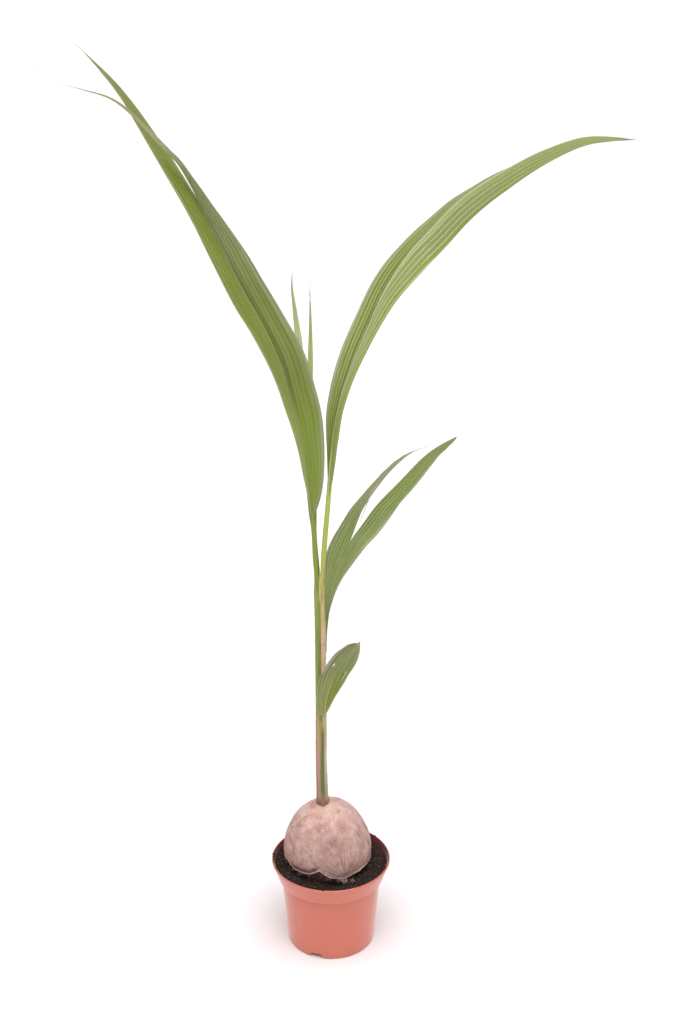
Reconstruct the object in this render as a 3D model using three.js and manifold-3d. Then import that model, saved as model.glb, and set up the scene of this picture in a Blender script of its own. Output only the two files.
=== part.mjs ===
// A young coconut palm in its nursery pot. The shoot of five leaves has sprouted from the
// top of a whole nut in its husk, and the nut sits half buried in the potting soil.
//
// Millimetres, +Z up. The origin is the centre of the pot's flat underside, and the soil
// and the pot share the vertical axis through it.

import * as THREE from 'three';
import { mergeVertices } from 'three/addons/utils/BufferGeometryUtils.js';
import Module from 'manifold-3d';

const wasm = await Module();
wasm.setup();

// ---------------------------------------------------------------- driving dimensions

const GAP = 0.3; // clearance between pieces that touch

// pot
const POT_HEIGHT = 146;
const RIM_RADIUS = 95;
const COLLAR_FOOT_RADIUS = 85.5; // outside, where the collar ends
const COLLAR_FOOT_HEIGHT = 116;
const WALL_TOP_RADIUS = 79.4; // outside, just under the collar
const BASE_RADIUS = 70.3;
const POT_WALL = 1.7;
const FLOOR_THICKNESS = 2.4;
const FOOT_STEP_HEIGHT = 9.5; // the floor rises to this over the drain notches
const POT_SIDES = 40;
const NOTCH_COUNT = 3;
const NOTCH_WIDTH = 22;
const NOTCH_HEIGHT = 7;
const NOTCH_DEPTH = 9;
const FIRST_NOTCH_ANGLE = -110; // degrees, from +X towards +Y
const NOTCH_FLOOR_RADIUS = BASE_RADIUS - NOTCH_DEPTH - 3; // the raised floor reaches in to here

// soil
const SOIL_LEVEL = 136.5;
const SOIL_UNEVENNESS = 1.6;

// nut
const NUT_CENTRE_HEIGHT = 167.5;
const NUT_RADIUS = 70;
const NUT_HALF_HEIGHT = 79.5;
const NUT_TAPER = 0.1; // how much narrower the nut is above its middle, as a share of the radius
const NUT_RIDGE = 0.025; // how far the three husk ridges stand out, as a share of the radius
const NUT_RIDGE_ANGLE = -75; // degrees, where the first ridge faces
const NUT_SHIFT = -5; // how far the nut's middle lies from the axis, along X
const NUT_LEAN = 5.5; // degrees, the top leans towards -X

// shoot
const STEM_TOP = 637;
const STEM_SIDES = 12;
const STEM_STEPS = 16;
const RIB_SIDES = 8;
const RIB_STEPS = 24;
const BLADE_THICKNESS = 1.2;
const BLADE_STEPS = 26;
const BLADE_COLUMNS = 2;
const BLADE_EDGE = 1.4; // least width of a half blade, at its two ends
const LINE_STEPS = 60; // points that carry a blade along its rib, and again along its lobe
const LOBE_CLOSING = 12; // how fast the lobes' inner edges close in past the rib's end

// ---------------------------------------------------------------- materials

const terracottaPlastic = { color: 0xd9705c, roughness: 0.5, metalness: 0 };
const darkPeat = { color: 0x2a211b, roughness: 0.98, metalness: 0 };
const driedHusk = { color: 0xc2a196, roughness: 0.95, metalness: 0 };
const sheathTan = { color: 0xb79a80, roughness: 0.8, metalness: 0 };
const ribGreen = { color: 0xa7b568, roughness: 0.55, metalness: 0 };
const bladeGreen = { color: 0x7f9a45, roughness: 0.55, metalness: 0 };

// ---------------------------------------------------------------- helpers

const root = new THREE.Group();

function point(xyz) {
  return new THREE.Vector3(xyz[0], xyz[1], xyz[2]);
}

function addPiece(name, geometry, finish) {
  const piece = new THREE.Mesh(geometry, new THREE.MeshStandardMaterial(finish));
  piece.name = name;
  root.add(piece);
}

function positionsOnly(geometry) {
  const bare = geometry.clone();
  bare.deleteAttribute('normal');
  bare.deleteAttribute('uv');
  return mergeVertices(bare, 1e-4);
}

function toSolid(geometry) {
  const merged = positionsOnly(geometry);
  const vertProperties = new Float32Array(merged.attributes.position.array);
  const triVerts = new Uint32Array(merged.index.array);
  return new wasm.Manifold(new wasm.Mesh({ numProp: 3, vertProperties, triVerts }));
}

function toGeometry(solid) {
  const mesh = solid.getMesh();
  const geometry = new THREE.BufferGeometry();
  geometry.setAttribute('position', new THREE.BufferAttribute(mesh.vertProperties, 3));
  geometry.setIndex(new THREE.BufferAttribute(mesh.triVerts, 1));
  return geometry;
}

// A smooth value between evenly spaced knots, for s from 0 to 1.
function between(knots, s) {
  const place = THREE.MathUtils.clamp(s, 0, 1) * (knots.length - 1);
  const low = Math.min(Math.floor(place), knots.length - 2);
  const before = knots[Math.max(low - 1, 0)];
  const after = knots[Math.min(low + 2, knots.length - 1)];
  const t = place - low;
  const a = knots[low];
  const b = knots[low + 1];
  const bend = (2 * before - 5 * a + 4 * b - after) * t * t + (3 * a - before - 3 * b + after) * t * t * t;
  return a + 0.5 * ((b - before) * t + bend);
}

// A lathe about +Z from [radius, height] pairs that start and end on the axis.
function turned(profile, sides) {
  const points = profile.map(([radius, height]) => new THREE.Vector2(radius, height));
  return new THREE.LatheGeometry(points, sides).rotateX(Math.PI / 2);
}

// One tapering limb of round section along a curve, closed at both ends.
function limb(curve, radiusAt, sides, steps) {
  const frames = curve.computeFrenetFrames(steps, false);
  const positions = [];
  const indices = [];
  for (let i = 0; i <= steps; i += 1) {
    const centre = curve.getPointAt(i / steps);
    const radius = radiusAt(i / steps);
    for (let j = 0; j < sides; j += 1) {
      const turn = (2 * Math.PI * j) / sides;
      const out = frames.normals[i].clone().multiplyScalar(Math.cos(turn) * radius);
      out.addScaledVector(frames.binormals[i], Math.sin(turn) * radius).add(centre);
      positions.push(out.x, out.y, out.z);
    }
  }
  for (let i = 0; i < steps; i += 1) {
    for (let j = 0; j < sides; j += 1) {
      const a = i * sides + j;
      const b = i * sides + ((j + 1) % sides);
      indices.push(a, b, b + sides, a, b + sides, a + sides);
    }
  }
  const last = steps * sides;
  for (let j = 1; j < sides - 1; j += 1) {
    indices.push(0, j + 1, j);
    indices.push(last, last + j, last + j + 1);
  }
  const geometry = new THREE.BufferGeometry();
  geometry.setAttribute('position', new THREE.Float32BufferAttribute(positions, 3));
  geometry.setIndex(indices);
  return geometry;
}

// A thin closed shell round a grid of points: rows run along the blade, columns across it.
function thinShell(grid, thickness) {
  const rows = grid.length;
  const columns = grid[0].length;
  const positions = [];
  const indices = [];
  for (const face of [1, -1]) {
    for (let i = 0; i < rows; i += 1) {
      const along = grid[Math.min(i + 1, rows - 1)][0].clone().sub(grid[Math.max(i - 1, 0)][0]);
      const across = grid[i][columns - 1].clone().sub(grid[i][0]);
      const normal = along.cross(across).normalize();
      for (let j = 0; j < columns; j += 1) {
        const vertex = grid[i][j].clone().addScaledVector(normal, (face * thickness) / 2);
        positions.push(vertex.x, vertex.y, vertex.z);
      }
    }
  }
  const under = rows * columns;
  const at = (i, j) => i * columns + j;
  for (let i = 0; i < rows - 1; i += 1) {
    for (let j = 0; j < columns - 1; j += 1) {
      const a = at(i, j);
      const b = at(i + 1, j);
      const c = at(i + 1, j + 1);
      const d = at(i, j + 1);
      indices.push(a, b, c, a, c, d);
      indices.push(under + a, under + c, under + b, under + a, under + d, under + c);
    }
  }
  const border = [];
  for (let j = 0; j < columns; j += 1) border.push(at(0, j));
  for (let i = 1; i < rows; i += 1) border.push(at(i, columns - 1));
  for (let j = columns - 2; j >= 0; j -= 1) border.push(at(rows - 1, j));
  for (let i = rows - 2; i > 0; i -= 1) border.push(at(i, 0));
  for (let k = 0; k < border.length; k += 1) {
    const a = border[k];
    const b = border[(k + 1) % border.length];
    indices.push(a, b, under + b, a, under + b, under + a);
  }
  const geometry = new THREE.BufferGeometry();
  geometry.setAttribute('position', new THREE.Float32BufferAttribute(positions, 3));
  geometry.setIndex(indices);
  return geometry;
}

// ---------------------------------------------------------------- pot, soil and nut

// The collar's outer face slopes from its foot to the rim; this is its radius at a height.
function collarRadius(height) {
  const share = (height - COLLAR_FOOT_HEIGHT) / (POT_HEIGHT - 2 - COLLAR_FOOT_HEIGHT);
  return THREE.MathUtils.lerp(COLLAR_FOOT_RADIUS, RIM_RADIUS - 0.4, share);
}

// The inside of the pot from the middle of its floor up to a height, moved in by a clearance.
function potInside(topHeight, clearance) {
  return [
    [0, FLOOR_THICKNESS + clearance],
    [NOTCH_FLOOR_RADIUS - 8 - clearance, FLOOR_THICKNESS + clearance],
    [NOTCH_FLOOR_RADIUS - clearance, FOOT_STEP_HEIGHT + clearance],
    [BASE_RADIUS - POT_WALL - 1 - clearance, FOOT_STEP_HEIGHT + 1 + clearance],
    [WALL_TOP_RADIUS - POT_WALL - clearance, COLLAR_FOOT_HEIGHT - 1 + clearance],
    [COLLAR_FOOT_RADIUS - POT_WALL - clearance, COLLAR_FOOT_HEIGHT + 2 + clearance],
    [collarRadius(topHeight) - POT_WALL - clearance, topHeight],
  ];
}

function potGeometry() {
  const outside = [
    [0, 0],
    [BASE_RADIUS - 2.5, 0],
    [BASE_RADIUS - 0.3, 2.5],
    [WALL_TOP_RADIUS - 0.2, COLLAR_FOOT_HEIGHT - 4],
    [WALL_TOP_RADIUS + 1.6, COLLAR_FOOT_HEIGHT - 1.6],
    [COLLAR_FOOT_RADIUS - 1, COLLAR_FOOT_HEIGHT - 0.5],
    [COLLAR_FOOT_RADIUS, COLLAR_FOOT_HEIGHT + 1],
    [RIM_RADIUS - 0.4, POT_HEIGHT - 2],
    [RIM_RADIUS, POT_HEIGHT - 1],
    [RIM_RADIUS - 0.6, POT_HEIGHT],
  ];
  const lip = [RIM_RADIUS - POT_WALL - 0.4, POT_HEIGHT];
  const inside = potInside(POT_HEIGHT - 2, 0).reverse();
  let pot = toSolid(turned([...outside, lip, ...inside], POT_SIDES));
  for (let k = 0; k < NOTCH_COUNT; k += 1) {
    const angle = THREE.MathUtils.degToRad(FIRST_NOTCH_ANGLE + (360 / NOTCH_COUNT) * k);
    const cutter = notchCutter();
    cutter.rotateZ(angle);
    pot = pot.subtract(toSolid(cutter));
  }
  return toGeometry(pot);
}

// An arch that runs out through the foot of the wall along +X, open below.
function notchCutter() {
  const half = NOTCH_WIDTH / 2;
  const arch = new THREE.Shape();
  arch.moveTo(-half - 2, -1);
  arch.lineTo(-half, 1);
  arch.quadraticCurveTo(-half + 1.5, NOTCH_HEIGHT, -half + 6, NOTCH_HEIGHT);
  arch.lineTo(half - 6, NOTCH_HEIGHT);
  arch.quadraticCurveTo(half - 1.5, NOTCH_HEIGHT, half, 1);
  arch.lineTo(half + 2, -1);
  arch.closePath();
  const cutter = new THREE.ExtrudeGeometry(arch, {
    depth: NOTCH_DEPTH + 10,
    bevelEnabled: false,
    curveSegments: 4,
  });
  cutter.rotateX(Math.PI / 2);
  cutter.rotateZ(Math.PI / 2);
  cutter.translate(BASE_RADIUS - NOTCH_DEPTH, 0, 0);
  return cutter;
}

// A husked nut: an upright egg with three faint ridges, leaning a little to one side.
function nutGeometry(swelling) {
  const nut = new THREE.SphereGeometry(1, 28, 18).rotateX(Math.PI / 2);
  const vertices = nut.attributes.position;
  const ridgeAngle = THREE.MathUtils.degToRad(NUT_RIDGE_ANGLE);
  for (let i = 0; i < vertices.count; i += 1) {
    const x = vertices.getX(i);
    const y = vertices.getY(i);
    const z = vertices.getZ(i);
    const ridge = 1 + NUT_RIDGE * Math.cos(3 * (Math.atan2(y, x) - ridgeAngle)) * (1 - z * z);
    const radius = (NUT_RADIUS + swelling) * ridge * (1 - NUT_TAPER * z * (1 - z * z));
    vertices.setXYZ(i, x * radius, y * radius, z * (NUT_HALF_HEIGHT + swelling));
  }
  nut.rotateY(THREE.MathUtils.degToRad(-NUT_LEAN));
  nut.translate(NUT_SHIFT, 0, NUT_CENTRE_HEIGHT);
  return nut;
}

function soilGeometry() {
  const sides = potInside(SOIL_LEVEL, GAP);
  const edge = sides[sides.length - 1][0];
  const top = [0.8, 0.55, 0.3].map((share) => [edge * share, SOIL_LEVEL + 1]);
  const soil = turned([...sides, ...top, [0, SOIL_LEVEL + 1]], POT_SIDES);
  const vertices = soil.attributes.position;
  for (let i = 0; i < vertices.count; i += 1) {
    if (vertices.getZ(i) >= SOIL_LEVEL + 0.5) {
      const x = vertices.getX(i) / RIM_RADIUS;
      const y = vertices.getY(i) / RIM_RADIUS;
      const lump = Math.sin(5.1 * x + 1.3) * Math.cos(4.3 * y - 0.4) + 0.5 * Math.sin(9 * x - 7 * y);
      vertices.setZ(i, vertices.getZ(i) + SOIL_UNEVENNESS * lump);
    }
  }
  return toGeometry(toSolid(soil).subtract(toSolid(nutGeometry(GAP))));
}

// ---------------------------------------------------------------- stem

// The bundle of leaf sheaths, from inside the husk to the fork: [x, y, z, radius].
const STEM = [
  [-12.6, 0, 236, 8.6],
  [-13.2, 0, 262, 8.0],
  [-14.4, 0, 323, 7.3],
  [-14.4, 0, 387, 7.2],
  [-14.8, 0, 450, 7.4],
  [-14.8, 0, 510, 7.6],
  [-15, 0, 560, 6.8],
  [-15.8, 0, 600, 6.5],
  [-16.2, 0, STEM_TOP, 6.8],
];
const stemCurve = new THREE.CatmullRomCurve3(STEM.map(point), false, 'centripetal');

// The stem's centre and radius at a height.
function stemAt(height) {
  let low = 0;
  while (low < STEM.length - 2 && STEM[low + 1][2] < height) low += 1;
  const share = (height - STEM[low][2]) / (STEM[low + 1][2] - STEM[low][2]);
  return STEM[low].map((value, k) => THREE.MathUtils.lerp(value, STEM[low + 1][k], share));
}

// A point beside the stem, one rib radius and a clearance away from its skin.
function besideStem(angle, height, ribRadius) {
  const [x, y, z, radius] = stemAt(height);
  const reach = radius + ribRadius + GAP;
  const turn = THREE.MathUtils.degToRad(angle);
  return [x + reach * Math.cos(turn), y + reach * Math.sin(turn), z];
}

function stemGeometry() {
  const radiusAt = (s) => stemAt(stemCurve.getPointAt(s).z)[3];
  const bundle = limb(stemCurve, radiusAt, STEM_SIDES, STEM_STEPS);
  return toGeometry(toSolid(bundle).subtract(toSolid(nutGeometry(GAP))));
}

// ---------------------------------------------------------------- leaves

// Each leaf is a rib (its stalk and midrib) and two half blades, left and right as seen
// looking outwards along its heading. A half blade hangs on the rib from bladeBase to the
// rib's end, and then runs on alone as a lobe to its tip. Its folds are angles in degrees
// at even steps along it: 0 lies level across the leaf, 90 stands up from its upper face.
const LEAVES = [
  {
    name: 'leaf_1',
    heading: -48,
    ribRadii: [2.9, 0.9],
    rib: [
      besideStem(-84, 256, 2.9),
      besideStem(-83, 300, 2.8),
      besideStem(-80, 345, 2.7),
      besideStem(-74, 385, 2.6),
      [-9.5, -12, 409],
      [-7, -15, 435],
      [-2, -20, 458],
      [6, -28, 488],
    ],
    bladeBase: 4,
    left: {
      lobe: [[22, -46, 522], [41, -67, 553]],
      width: 23,
      tipFullness: 0.5,
      folds: [-26, -24, -27, -33, -21, 25],
    },
    right: {
      lobe: [[22, -46, 522], [41, -67, 553]],
      width: 22,
      tipFullness: 0.7,
      folds: [-8, -8, 14, 25, 28, 45],
    },
  },
  {
    name: 'leaf_2',
    heading: 38,
    ribRadii: [2.4, 1.0],
    rib: [
      besideStem(54, 505, 2.4),
      besideStem(42, 535, 2.3),
      [-5, 5, 562],
      [0, 8, 593],
      [7, 14, 623],
      [18, 21, 653],
      [30, 29, 680],
    ],
    bladeBase: 2,
    left: {
      lobe: [[37, 35, 704], [45, 40, 723], [57, 48, 743], [84, 67, 777], [113, 88, 795], [130, 99, 801]],
      width: 27,
      tipFullness: 0.9,
      folds: [-24, -18, -6, 25, 24, -1, -13, -19, -26, -12, 10],
    },
    right: {
      lobe: [[45, 40, 702], [67, 56, 728], [98, 77, 752], [144, 110, 788], [168, 126, 800], [194, 144, 808]],
      width: 34,
      tipFullness: 0.6,
      folds: [38, 26, -4, -6, -7, 14],
    },
  },
  {
    name: 'leaf_3',
    heading: 194,
    ribRadii: [3.3, 1.0],
    rib: [
      [-19.8, -3, STEM_TOP + 0.5],
      [-21, -4, 669],
      [-23, -5, 711],
      [-26, -5, 733],
      [-32, -7, 789],
      [-41, -9, 851],
      [-55, -13, 911],
      [-68, -16, 963],
      [-92, -22, 1021],
      [-118, -28, 1071],
      [-142, -34, 1124],
    ],
    bladeBase: 3,
    left: {
      lobe: [[-176, -43, 1198], [-219, -54, 1272], [-266, -65, 1340], [-312, -77, 1388]],
      width: 42,
      tipFullness: 0.9,
      folds: [-24, -26, -33, -38, -46, -38],
    },
    right: {
      lobe: [
        [-161, -39, 1170],
        [-182, -51, 1218],
        [-198, -63, 1245],
        [-211, -72, 1260],
        [-228, -83, 1281],
        [-247, -94, 1305],
        [-273, -103, 1327],
        [-305, -113, 1339],
        [-343, -123, 1352],
        [-358, -127, 1368],
      ],
      width: 42,
      tipFullness: 2,
      folds: [50, 60, 69, 62, 65, 90, 131, 167, 95, 90, 90],
    },
  },
  {
    name: 'leaf_4',
    heading: -14,
    ribRadii: [2.9, 1.0],
    rib: [
      [-12.4, -3, STEM_TOP + 0.5],
      [-9, -4, 695],
      [-6, -5, 758],
      [3, -7, 815],
      [19, -11, 893],
      [36, -15, 960],
      [52, -19, 1020],
      [75, -25, 1072],
      [107, -33, 1122],
      [138, -40, 1157],
      [167, -48, 1189],
      [196, -55, 1213],
      [234, -64, 1238],
    ],
    bladeBase: 2,
    left: {
      lobe: [[273, -74, 1260], [324, -87, 1279], [358, -96, 1281], [390, -103, 1278]],
      width: 42,
      tipFullness: 0.9,
      folds: [28, 52, 33, 18, -1, -6],
    },
    right: {
      lobe: [[273, -74, 1260], [324, -87, 1279], [358, -96, 1281], [390, -103, 1278]],
      width: 42,
      tipFullness: 0.9,
      folds: [-12, 2, -32, -53, -56, -90],
    },
  },
  {
    name: 'leaf_5',
    heading: 122,
    ribRadii: [2.6, 0.9],
    rib: [
      [-17, 4.5, STEM_TOP + 0.8],
      [-21, 11, 689],
      [-25, 27, 780],
      [-31, 42, 850],
      [-36, 52, 900],
    ],
    bladeBase: 1,
    left: {
      lobe: [[-37, 57, 934], [-40, 63, 978], [-47, 69, 1019], [-53, 73, 1054], [-54, 76, 1076]],
      width: 11,
      tipFullness: 0.9,
      folds: [50, 25, 20],
    },
    right: {
      lobe: [[-35, 57, 937], [-33, 62, 980], [-30, 66, 1020], [-29, 68, 1037], [-28, 70, 1063]],
      width: 9,
      tipFullness: 0.9,
      folds: [60, 60],
    },
  },
];

const WIDEST_SHAPE = 0.55; // how quickly a half blade widens from its base

// The width of a half blade at a share s of its length.
function bladeWidth(half, s) {
  const widest = WIDEST_SHAPE / (WIDEST_SHAPE + half.tipFullness);
  const opening = (s / widest) ** WIDEST_SHAPE;
  const closing = ((1 - s) / (1 - widest)) ** half.tipFullness;
  return Math.max(half.width * opening * closing, BLADE_EDGE);
}

function ribCurveOf(leaf) {
  return new THREE.CatmullRomCurve3(leaf.rib.map(point), false, 'centripetal');
}

// The centre line that a half blade hangs on: the rib from the blade's base to the rib's
// end, then the lobe. ribShare is how much of the line's length is rib.
function hangingLine(leaf, half) {
  const ribCurve = ribCurveOf(leaf);
  const base = leaf.bladeBase / (leaf.rib.length - 1);
  const tail = leaf.rib.slice(-2).concat(half.lobe);
  const lobeCurve = new THREE.CatmullRomCurve3(tail.map(point), false, 'centripetal');
  const join = 1 / (tail.length - 1);
  const alongRib = [];
  const alongLobe = [];
  for (let i = 0; i < LINE_STEPS; i += 1) {
    const share = i / LINE_STEPS;
    alongRib.push(ribCurve.getPoint(THREE.MathUtils.lerp(base, 1, share)));
    alongLobe.push(lobeCurve.getPoint(THREE.MathUtils.lerp(join, 1, share + 1 / LINE_STEPS)));
  }
  const ribEnd = point(leaf.rib[leaf.rib.length - 1]);
  const ribPart = new THREE.CatmullRomCurve3([...alongRib, ribEnd], false, 'centripetal');
  const line = new THREE.CatmullRomCurve3([...alongRib, ribEnd, ...alongLobe], false, 'centripetal');
  line.arcLengthDivisions = 400;
  return { line, ribShare: ribPart.getLength() / line.getLength() };
}

// How far a half blade's inner edge stands off its centre line: clear of the rib, and less
// along the lobe.
function innerOffset(leaf, s, ribShare) {
  const [foot, tip] = leaf.ribRadii;
  const clear = GAP + BLADE_THICKNESS / 2;
  if (s > ribShare) return Math.max(tip + clear - (s - ribShare) * LOBE_CLOSING, clear);
  return THREE.MathUtils.lerp(foot, tip, s / ribShare) + clear;
}

function halfBlade(leaf, half, side) {
  const { line, ribShare } = hangingLine(leaf, half);
  const heading = THREE.MathUtils.degToRad(leaf.heading);
  const level = new THREE.Vector3(Math.sin(heading), -Math.cos(heading), 0);
  const grid = [];
  for (let i = 0; i <= BLADE_STEPS; i += 1) {
    const s = i / BLADE_STEPS;
    const along = line.getTangentAt(s);
    const upper = level.clone().cross(along).normalize();
    const across = along.clone().cross(upper).multiplyScalar(side);
    const fold = THREE.MathUtils.degToRad(between(half.folds, s));
    const outward = across.clone().multiplyScalar(Math.cos(fold)).addScaledVector(upper, Math.sin(fold));
    const inner = line.getPointAt(s).addScaledVector(across, innerOffset(leaf, s, ribShare));
    const width = bladeWidth(half, s);
    const row = [];
    for (let j = 0; j <= BLADE_COLUMNS; j += 1) {
      row.push(inner.clone().addScaledVector(outward, (width * j) / BLADE_COLUMNS));
    }
    grid.push(side > 0 ? row : row.reverse());
  }
  return thinShell(grid, BLADE_THICKNESS);
}

function ribGeometry(leaf) {
  const [foot, tip] = leaf.ribRadii;
  const radiusAt = (s) => THREE.MathUtils.lerp(foot, tip, s);
  return limb(ribCurveOf(leaf), radiusAt, RIB_SIDES, RIB_STEPS);
}

// ---------------------------------------------------------------- assembly

addPiece('pot', potGeometry(), terracottaPlastic);
addPiece('soil', soilGeometry(), darkPeat);
addPiece('nut', positionsOnly(nutGeometry(0)), driedHusk);
addPiece('stem', stemGeometry(), sheathTan);
for (const leaf of LEAVES) {
  addPiece(`${leaf.name}_rib`, ribGeometry(leaf), ribGreen);
  addPiece(`${leaf.name}_left_blade`, halfBlade(leaf, leaf.left, -1), bladeGreen);
  addPiece(`${leaf.name}_right_blade`, halfBlade(leaf, leaf.right, 1), bladeGreen);
}

export default root;
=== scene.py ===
"""A young coconut palm in its nursery pot: a partly buried nut, a shoot and five leaves.

Metres, +Z up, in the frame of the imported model: the origin is the centre of the pot's foot.
"""

import itertools
import math

import bpy
import numpy as np
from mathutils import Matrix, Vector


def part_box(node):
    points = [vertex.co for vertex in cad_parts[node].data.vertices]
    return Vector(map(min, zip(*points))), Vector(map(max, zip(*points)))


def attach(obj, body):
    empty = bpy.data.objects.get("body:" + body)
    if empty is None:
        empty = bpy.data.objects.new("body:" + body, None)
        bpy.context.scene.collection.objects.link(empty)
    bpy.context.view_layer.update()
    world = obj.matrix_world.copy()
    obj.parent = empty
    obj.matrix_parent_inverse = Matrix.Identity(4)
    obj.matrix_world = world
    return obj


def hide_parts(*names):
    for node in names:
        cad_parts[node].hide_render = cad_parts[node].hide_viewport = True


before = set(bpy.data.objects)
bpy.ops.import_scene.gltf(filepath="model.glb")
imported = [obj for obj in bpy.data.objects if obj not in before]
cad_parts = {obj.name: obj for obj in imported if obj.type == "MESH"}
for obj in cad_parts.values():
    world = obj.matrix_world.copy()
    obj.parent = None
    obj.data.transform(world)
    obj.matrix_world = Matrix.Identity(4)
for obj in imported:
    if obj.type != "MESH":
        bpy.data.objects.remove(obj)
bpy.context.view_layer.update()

# ---------------------------------------------------------------- sizes, in metres

# The pot. Its height and rim, the soil's edge and the stem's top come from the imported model.
POT_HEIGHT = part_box("pot")[1].z
RIM_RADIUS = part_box("pot")[1].x
COLLAR_FOOT_RADIUS = 0.0855
COLLAR_FOOT_HEIGHT = 0.116
WALL_TOP_RADIUS = 0.0794
BASE_RADIUS = 0.0703
POT_WALL = 0.0017
FLOOR_THICKNESS = 0.0024
FOOT_STEP_HEIGHT = 0.0095
NOTCH_COUNT = 3
NOTCH_WIDTH = 0.022
NOTCH_HEIGHT = 0.007
NOTCH_DEPTH = 0.009
FIRST_NOTCH_ANGLE = -110  # degrees round the pot, from +X towards +Y

# The soil.
SOIL_LEVEL = 0.1365
SOIL_EDGE_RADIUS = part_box("soil")[1].x

# The nut, a leaning egg whose foot is in the soil.
NUT_CENTRE = (-0.005, 0, 0.1675)
NUT_RADIUS = 0.07
NUT_HALF_HEIGHT = 0.0795
NUT_TAPER = 0.1  # how much narrower it is above its middle, as a share of the radius
NUT_RIDGE = 0.025  # how far its three ridges stand out, as a share of the radius
NUT_RIDGE_ANGLE = -75  # degrees round the nut to its first ridge
NUT_LEAN = 5.5  # degrees that its top leans towards -X

# The stem, a bundle of leaf sheaths: (x, y, z, radius).
STEM_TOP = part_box("stem")[1].z
STEM = [
    (-0.0126, 0, 0.236, 0.0086),
    (-0.0132, 0, 0.262, 0.008),
    (-0.0144, 0, 0.323, 0.0073),
    (-0.0144, 0, 0.387, 0.0072),
    (-0.0148, 0, 0.45, 0.0074),
    (-0.0148, 0, 0.51, 0.0076),
    (-0.015, 0, 0.56, 0.0068),
    (-0.0158, 0, 0.6, 0.0065),
    (-0.0162, 0, STEM_TOP, 0.0068),
]
CLEARANCE = 0.0003  # between the stem's skin and a stalk beside it
SHEATH_TONGUE = [
    (-0.0146, -0.0048, 0.59), (-0.015, -0.0054, 0.606), (-0.0153, -0.006, 0.622),
    (-0.0155, -0.0062, 0.636), (-0.0154, -0.006, 0.648),
]

# ---------------------------------------------------------------- curves

UP = np.array([0.0, 0.0, 1.0])
FRONT = np.array([0.0, -1.0, 0.0])


def triple(x, y, z):
    """Three numbers or arrays, stretched to one shape, as one array of threes."""
    return np.stack(np.broadcast_arrays(x, y, z), -1)


def polar(radius, turn, height):
    """Points at a radius and an angle round the Z axis, and at a height."""
    return triple(radius * np.cos(turn), radius * np.sin(turn), height)


def spline(points, per_span=24):
    """Dense points on the smooth (centripetal Catmull-Rom) curve through some points."""
    p = np.array(points, float)
    p = np.vstack([2 * p[0] - p[1], p, 2 * p[-1] - p[-2]])
    t = np.linspace(0, 1, per_span, endpoint=False)[:, None]
    spans = []
    for a, b, c, d in zip(p, p[1:], p[2:], p[3:]):
        ab, bc, cd = (max(np.linalg.norm(q - r), 1e-7) ** 0.5 for q, r in ((b, a), (c, b), (d, c)))
        leave = ((b - a) / ab - (c - a) / (ab + bc) + (c - b) / bc) * bc
        arrive = ((c - b) / bc - (d - b) / (bc + cd) + (d - c) / cd) * bc
        cubic = 2 * (b - c) + leave + arrive
        spans.append(b + leave * t + (3 * (c - b) - 2 * leave - arrive) * t**2 + cubic * t**3)
    return np.vstack([*spans, p[-2]])


def unit(vectors):
    return vectors / np.maximum(np.linalg.norm(vectors, axis=-1, keepdims=True), 1e-12)


class Line:
    """A dense line of points that can be read at any share of its length."""

    def __init__(self, points):
        self.points = points
        steps = np.linalg.norm(np.diff(points, axis=0), axis=1)
        self.length = steps.sum()
        self.share = np.concatenate([[0], np.cumsum(steps)]) / self.length

    def at(self, share):
        return np.stack([np.interp(share, self.share, axis) for axis in self.points.T], -1)

    def along(self, share):
        ahead = np.clip(share + 0.004, 0, 1)
        behind = np.clip(share - 0.004, 0, 1)
        return unit(self.at(ahead) - self.at(behind))


def between(knots, s):
    """A smooth value between evenly spaced knots, for s from 0 to 1."""
    knots = np.array(knots, float)
    last = len(knots) - 1
    place = np.clip(s, 0, 1) * last
    low = np.minimum(place.astype(int), last - 1)
    before, a, b, after = (knots[np.clip(low + k, 0, last)] for k in (-1, 0, 1, 2))
    t = place - low
    bend = (2 * before - 5 * a + 4 * b - after) * t**2 + (3 * a - before - 3 * b + after) * t**3
    return a + 0.5 * ((b - before) * t + bend)


def smooth(value, low, high):
    """0 at low, 1 at high, and an even slope between."""
    t = np.clip((value - low) / (high - low), 0, 1)
    return t * t * (3 - 2 * t)


def noise(points, seed):
    """Smooth random values from -1 to 1 over an array of points of three coordinates."""
    lattice = np.random.default_rng(seed).uniform(-1, 1, (32, 32, 32))
    cell = np.floor(points).astype(int)
    part = points - cell
    part = part * part * (3 - 2 * part)
    total = 0
    for corner in itertools.product((0, 1), repeat=3):
        weight = np.prod(np.where(corner, part, 1 - part), axis=-1)
        x, y, z = np.moveaxis((cell + corner) % 32, -1, 0)
        total = total + weight * lattice[x, y, z]
    return total


# ---------------------------------------------------------------- meshes


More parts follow.
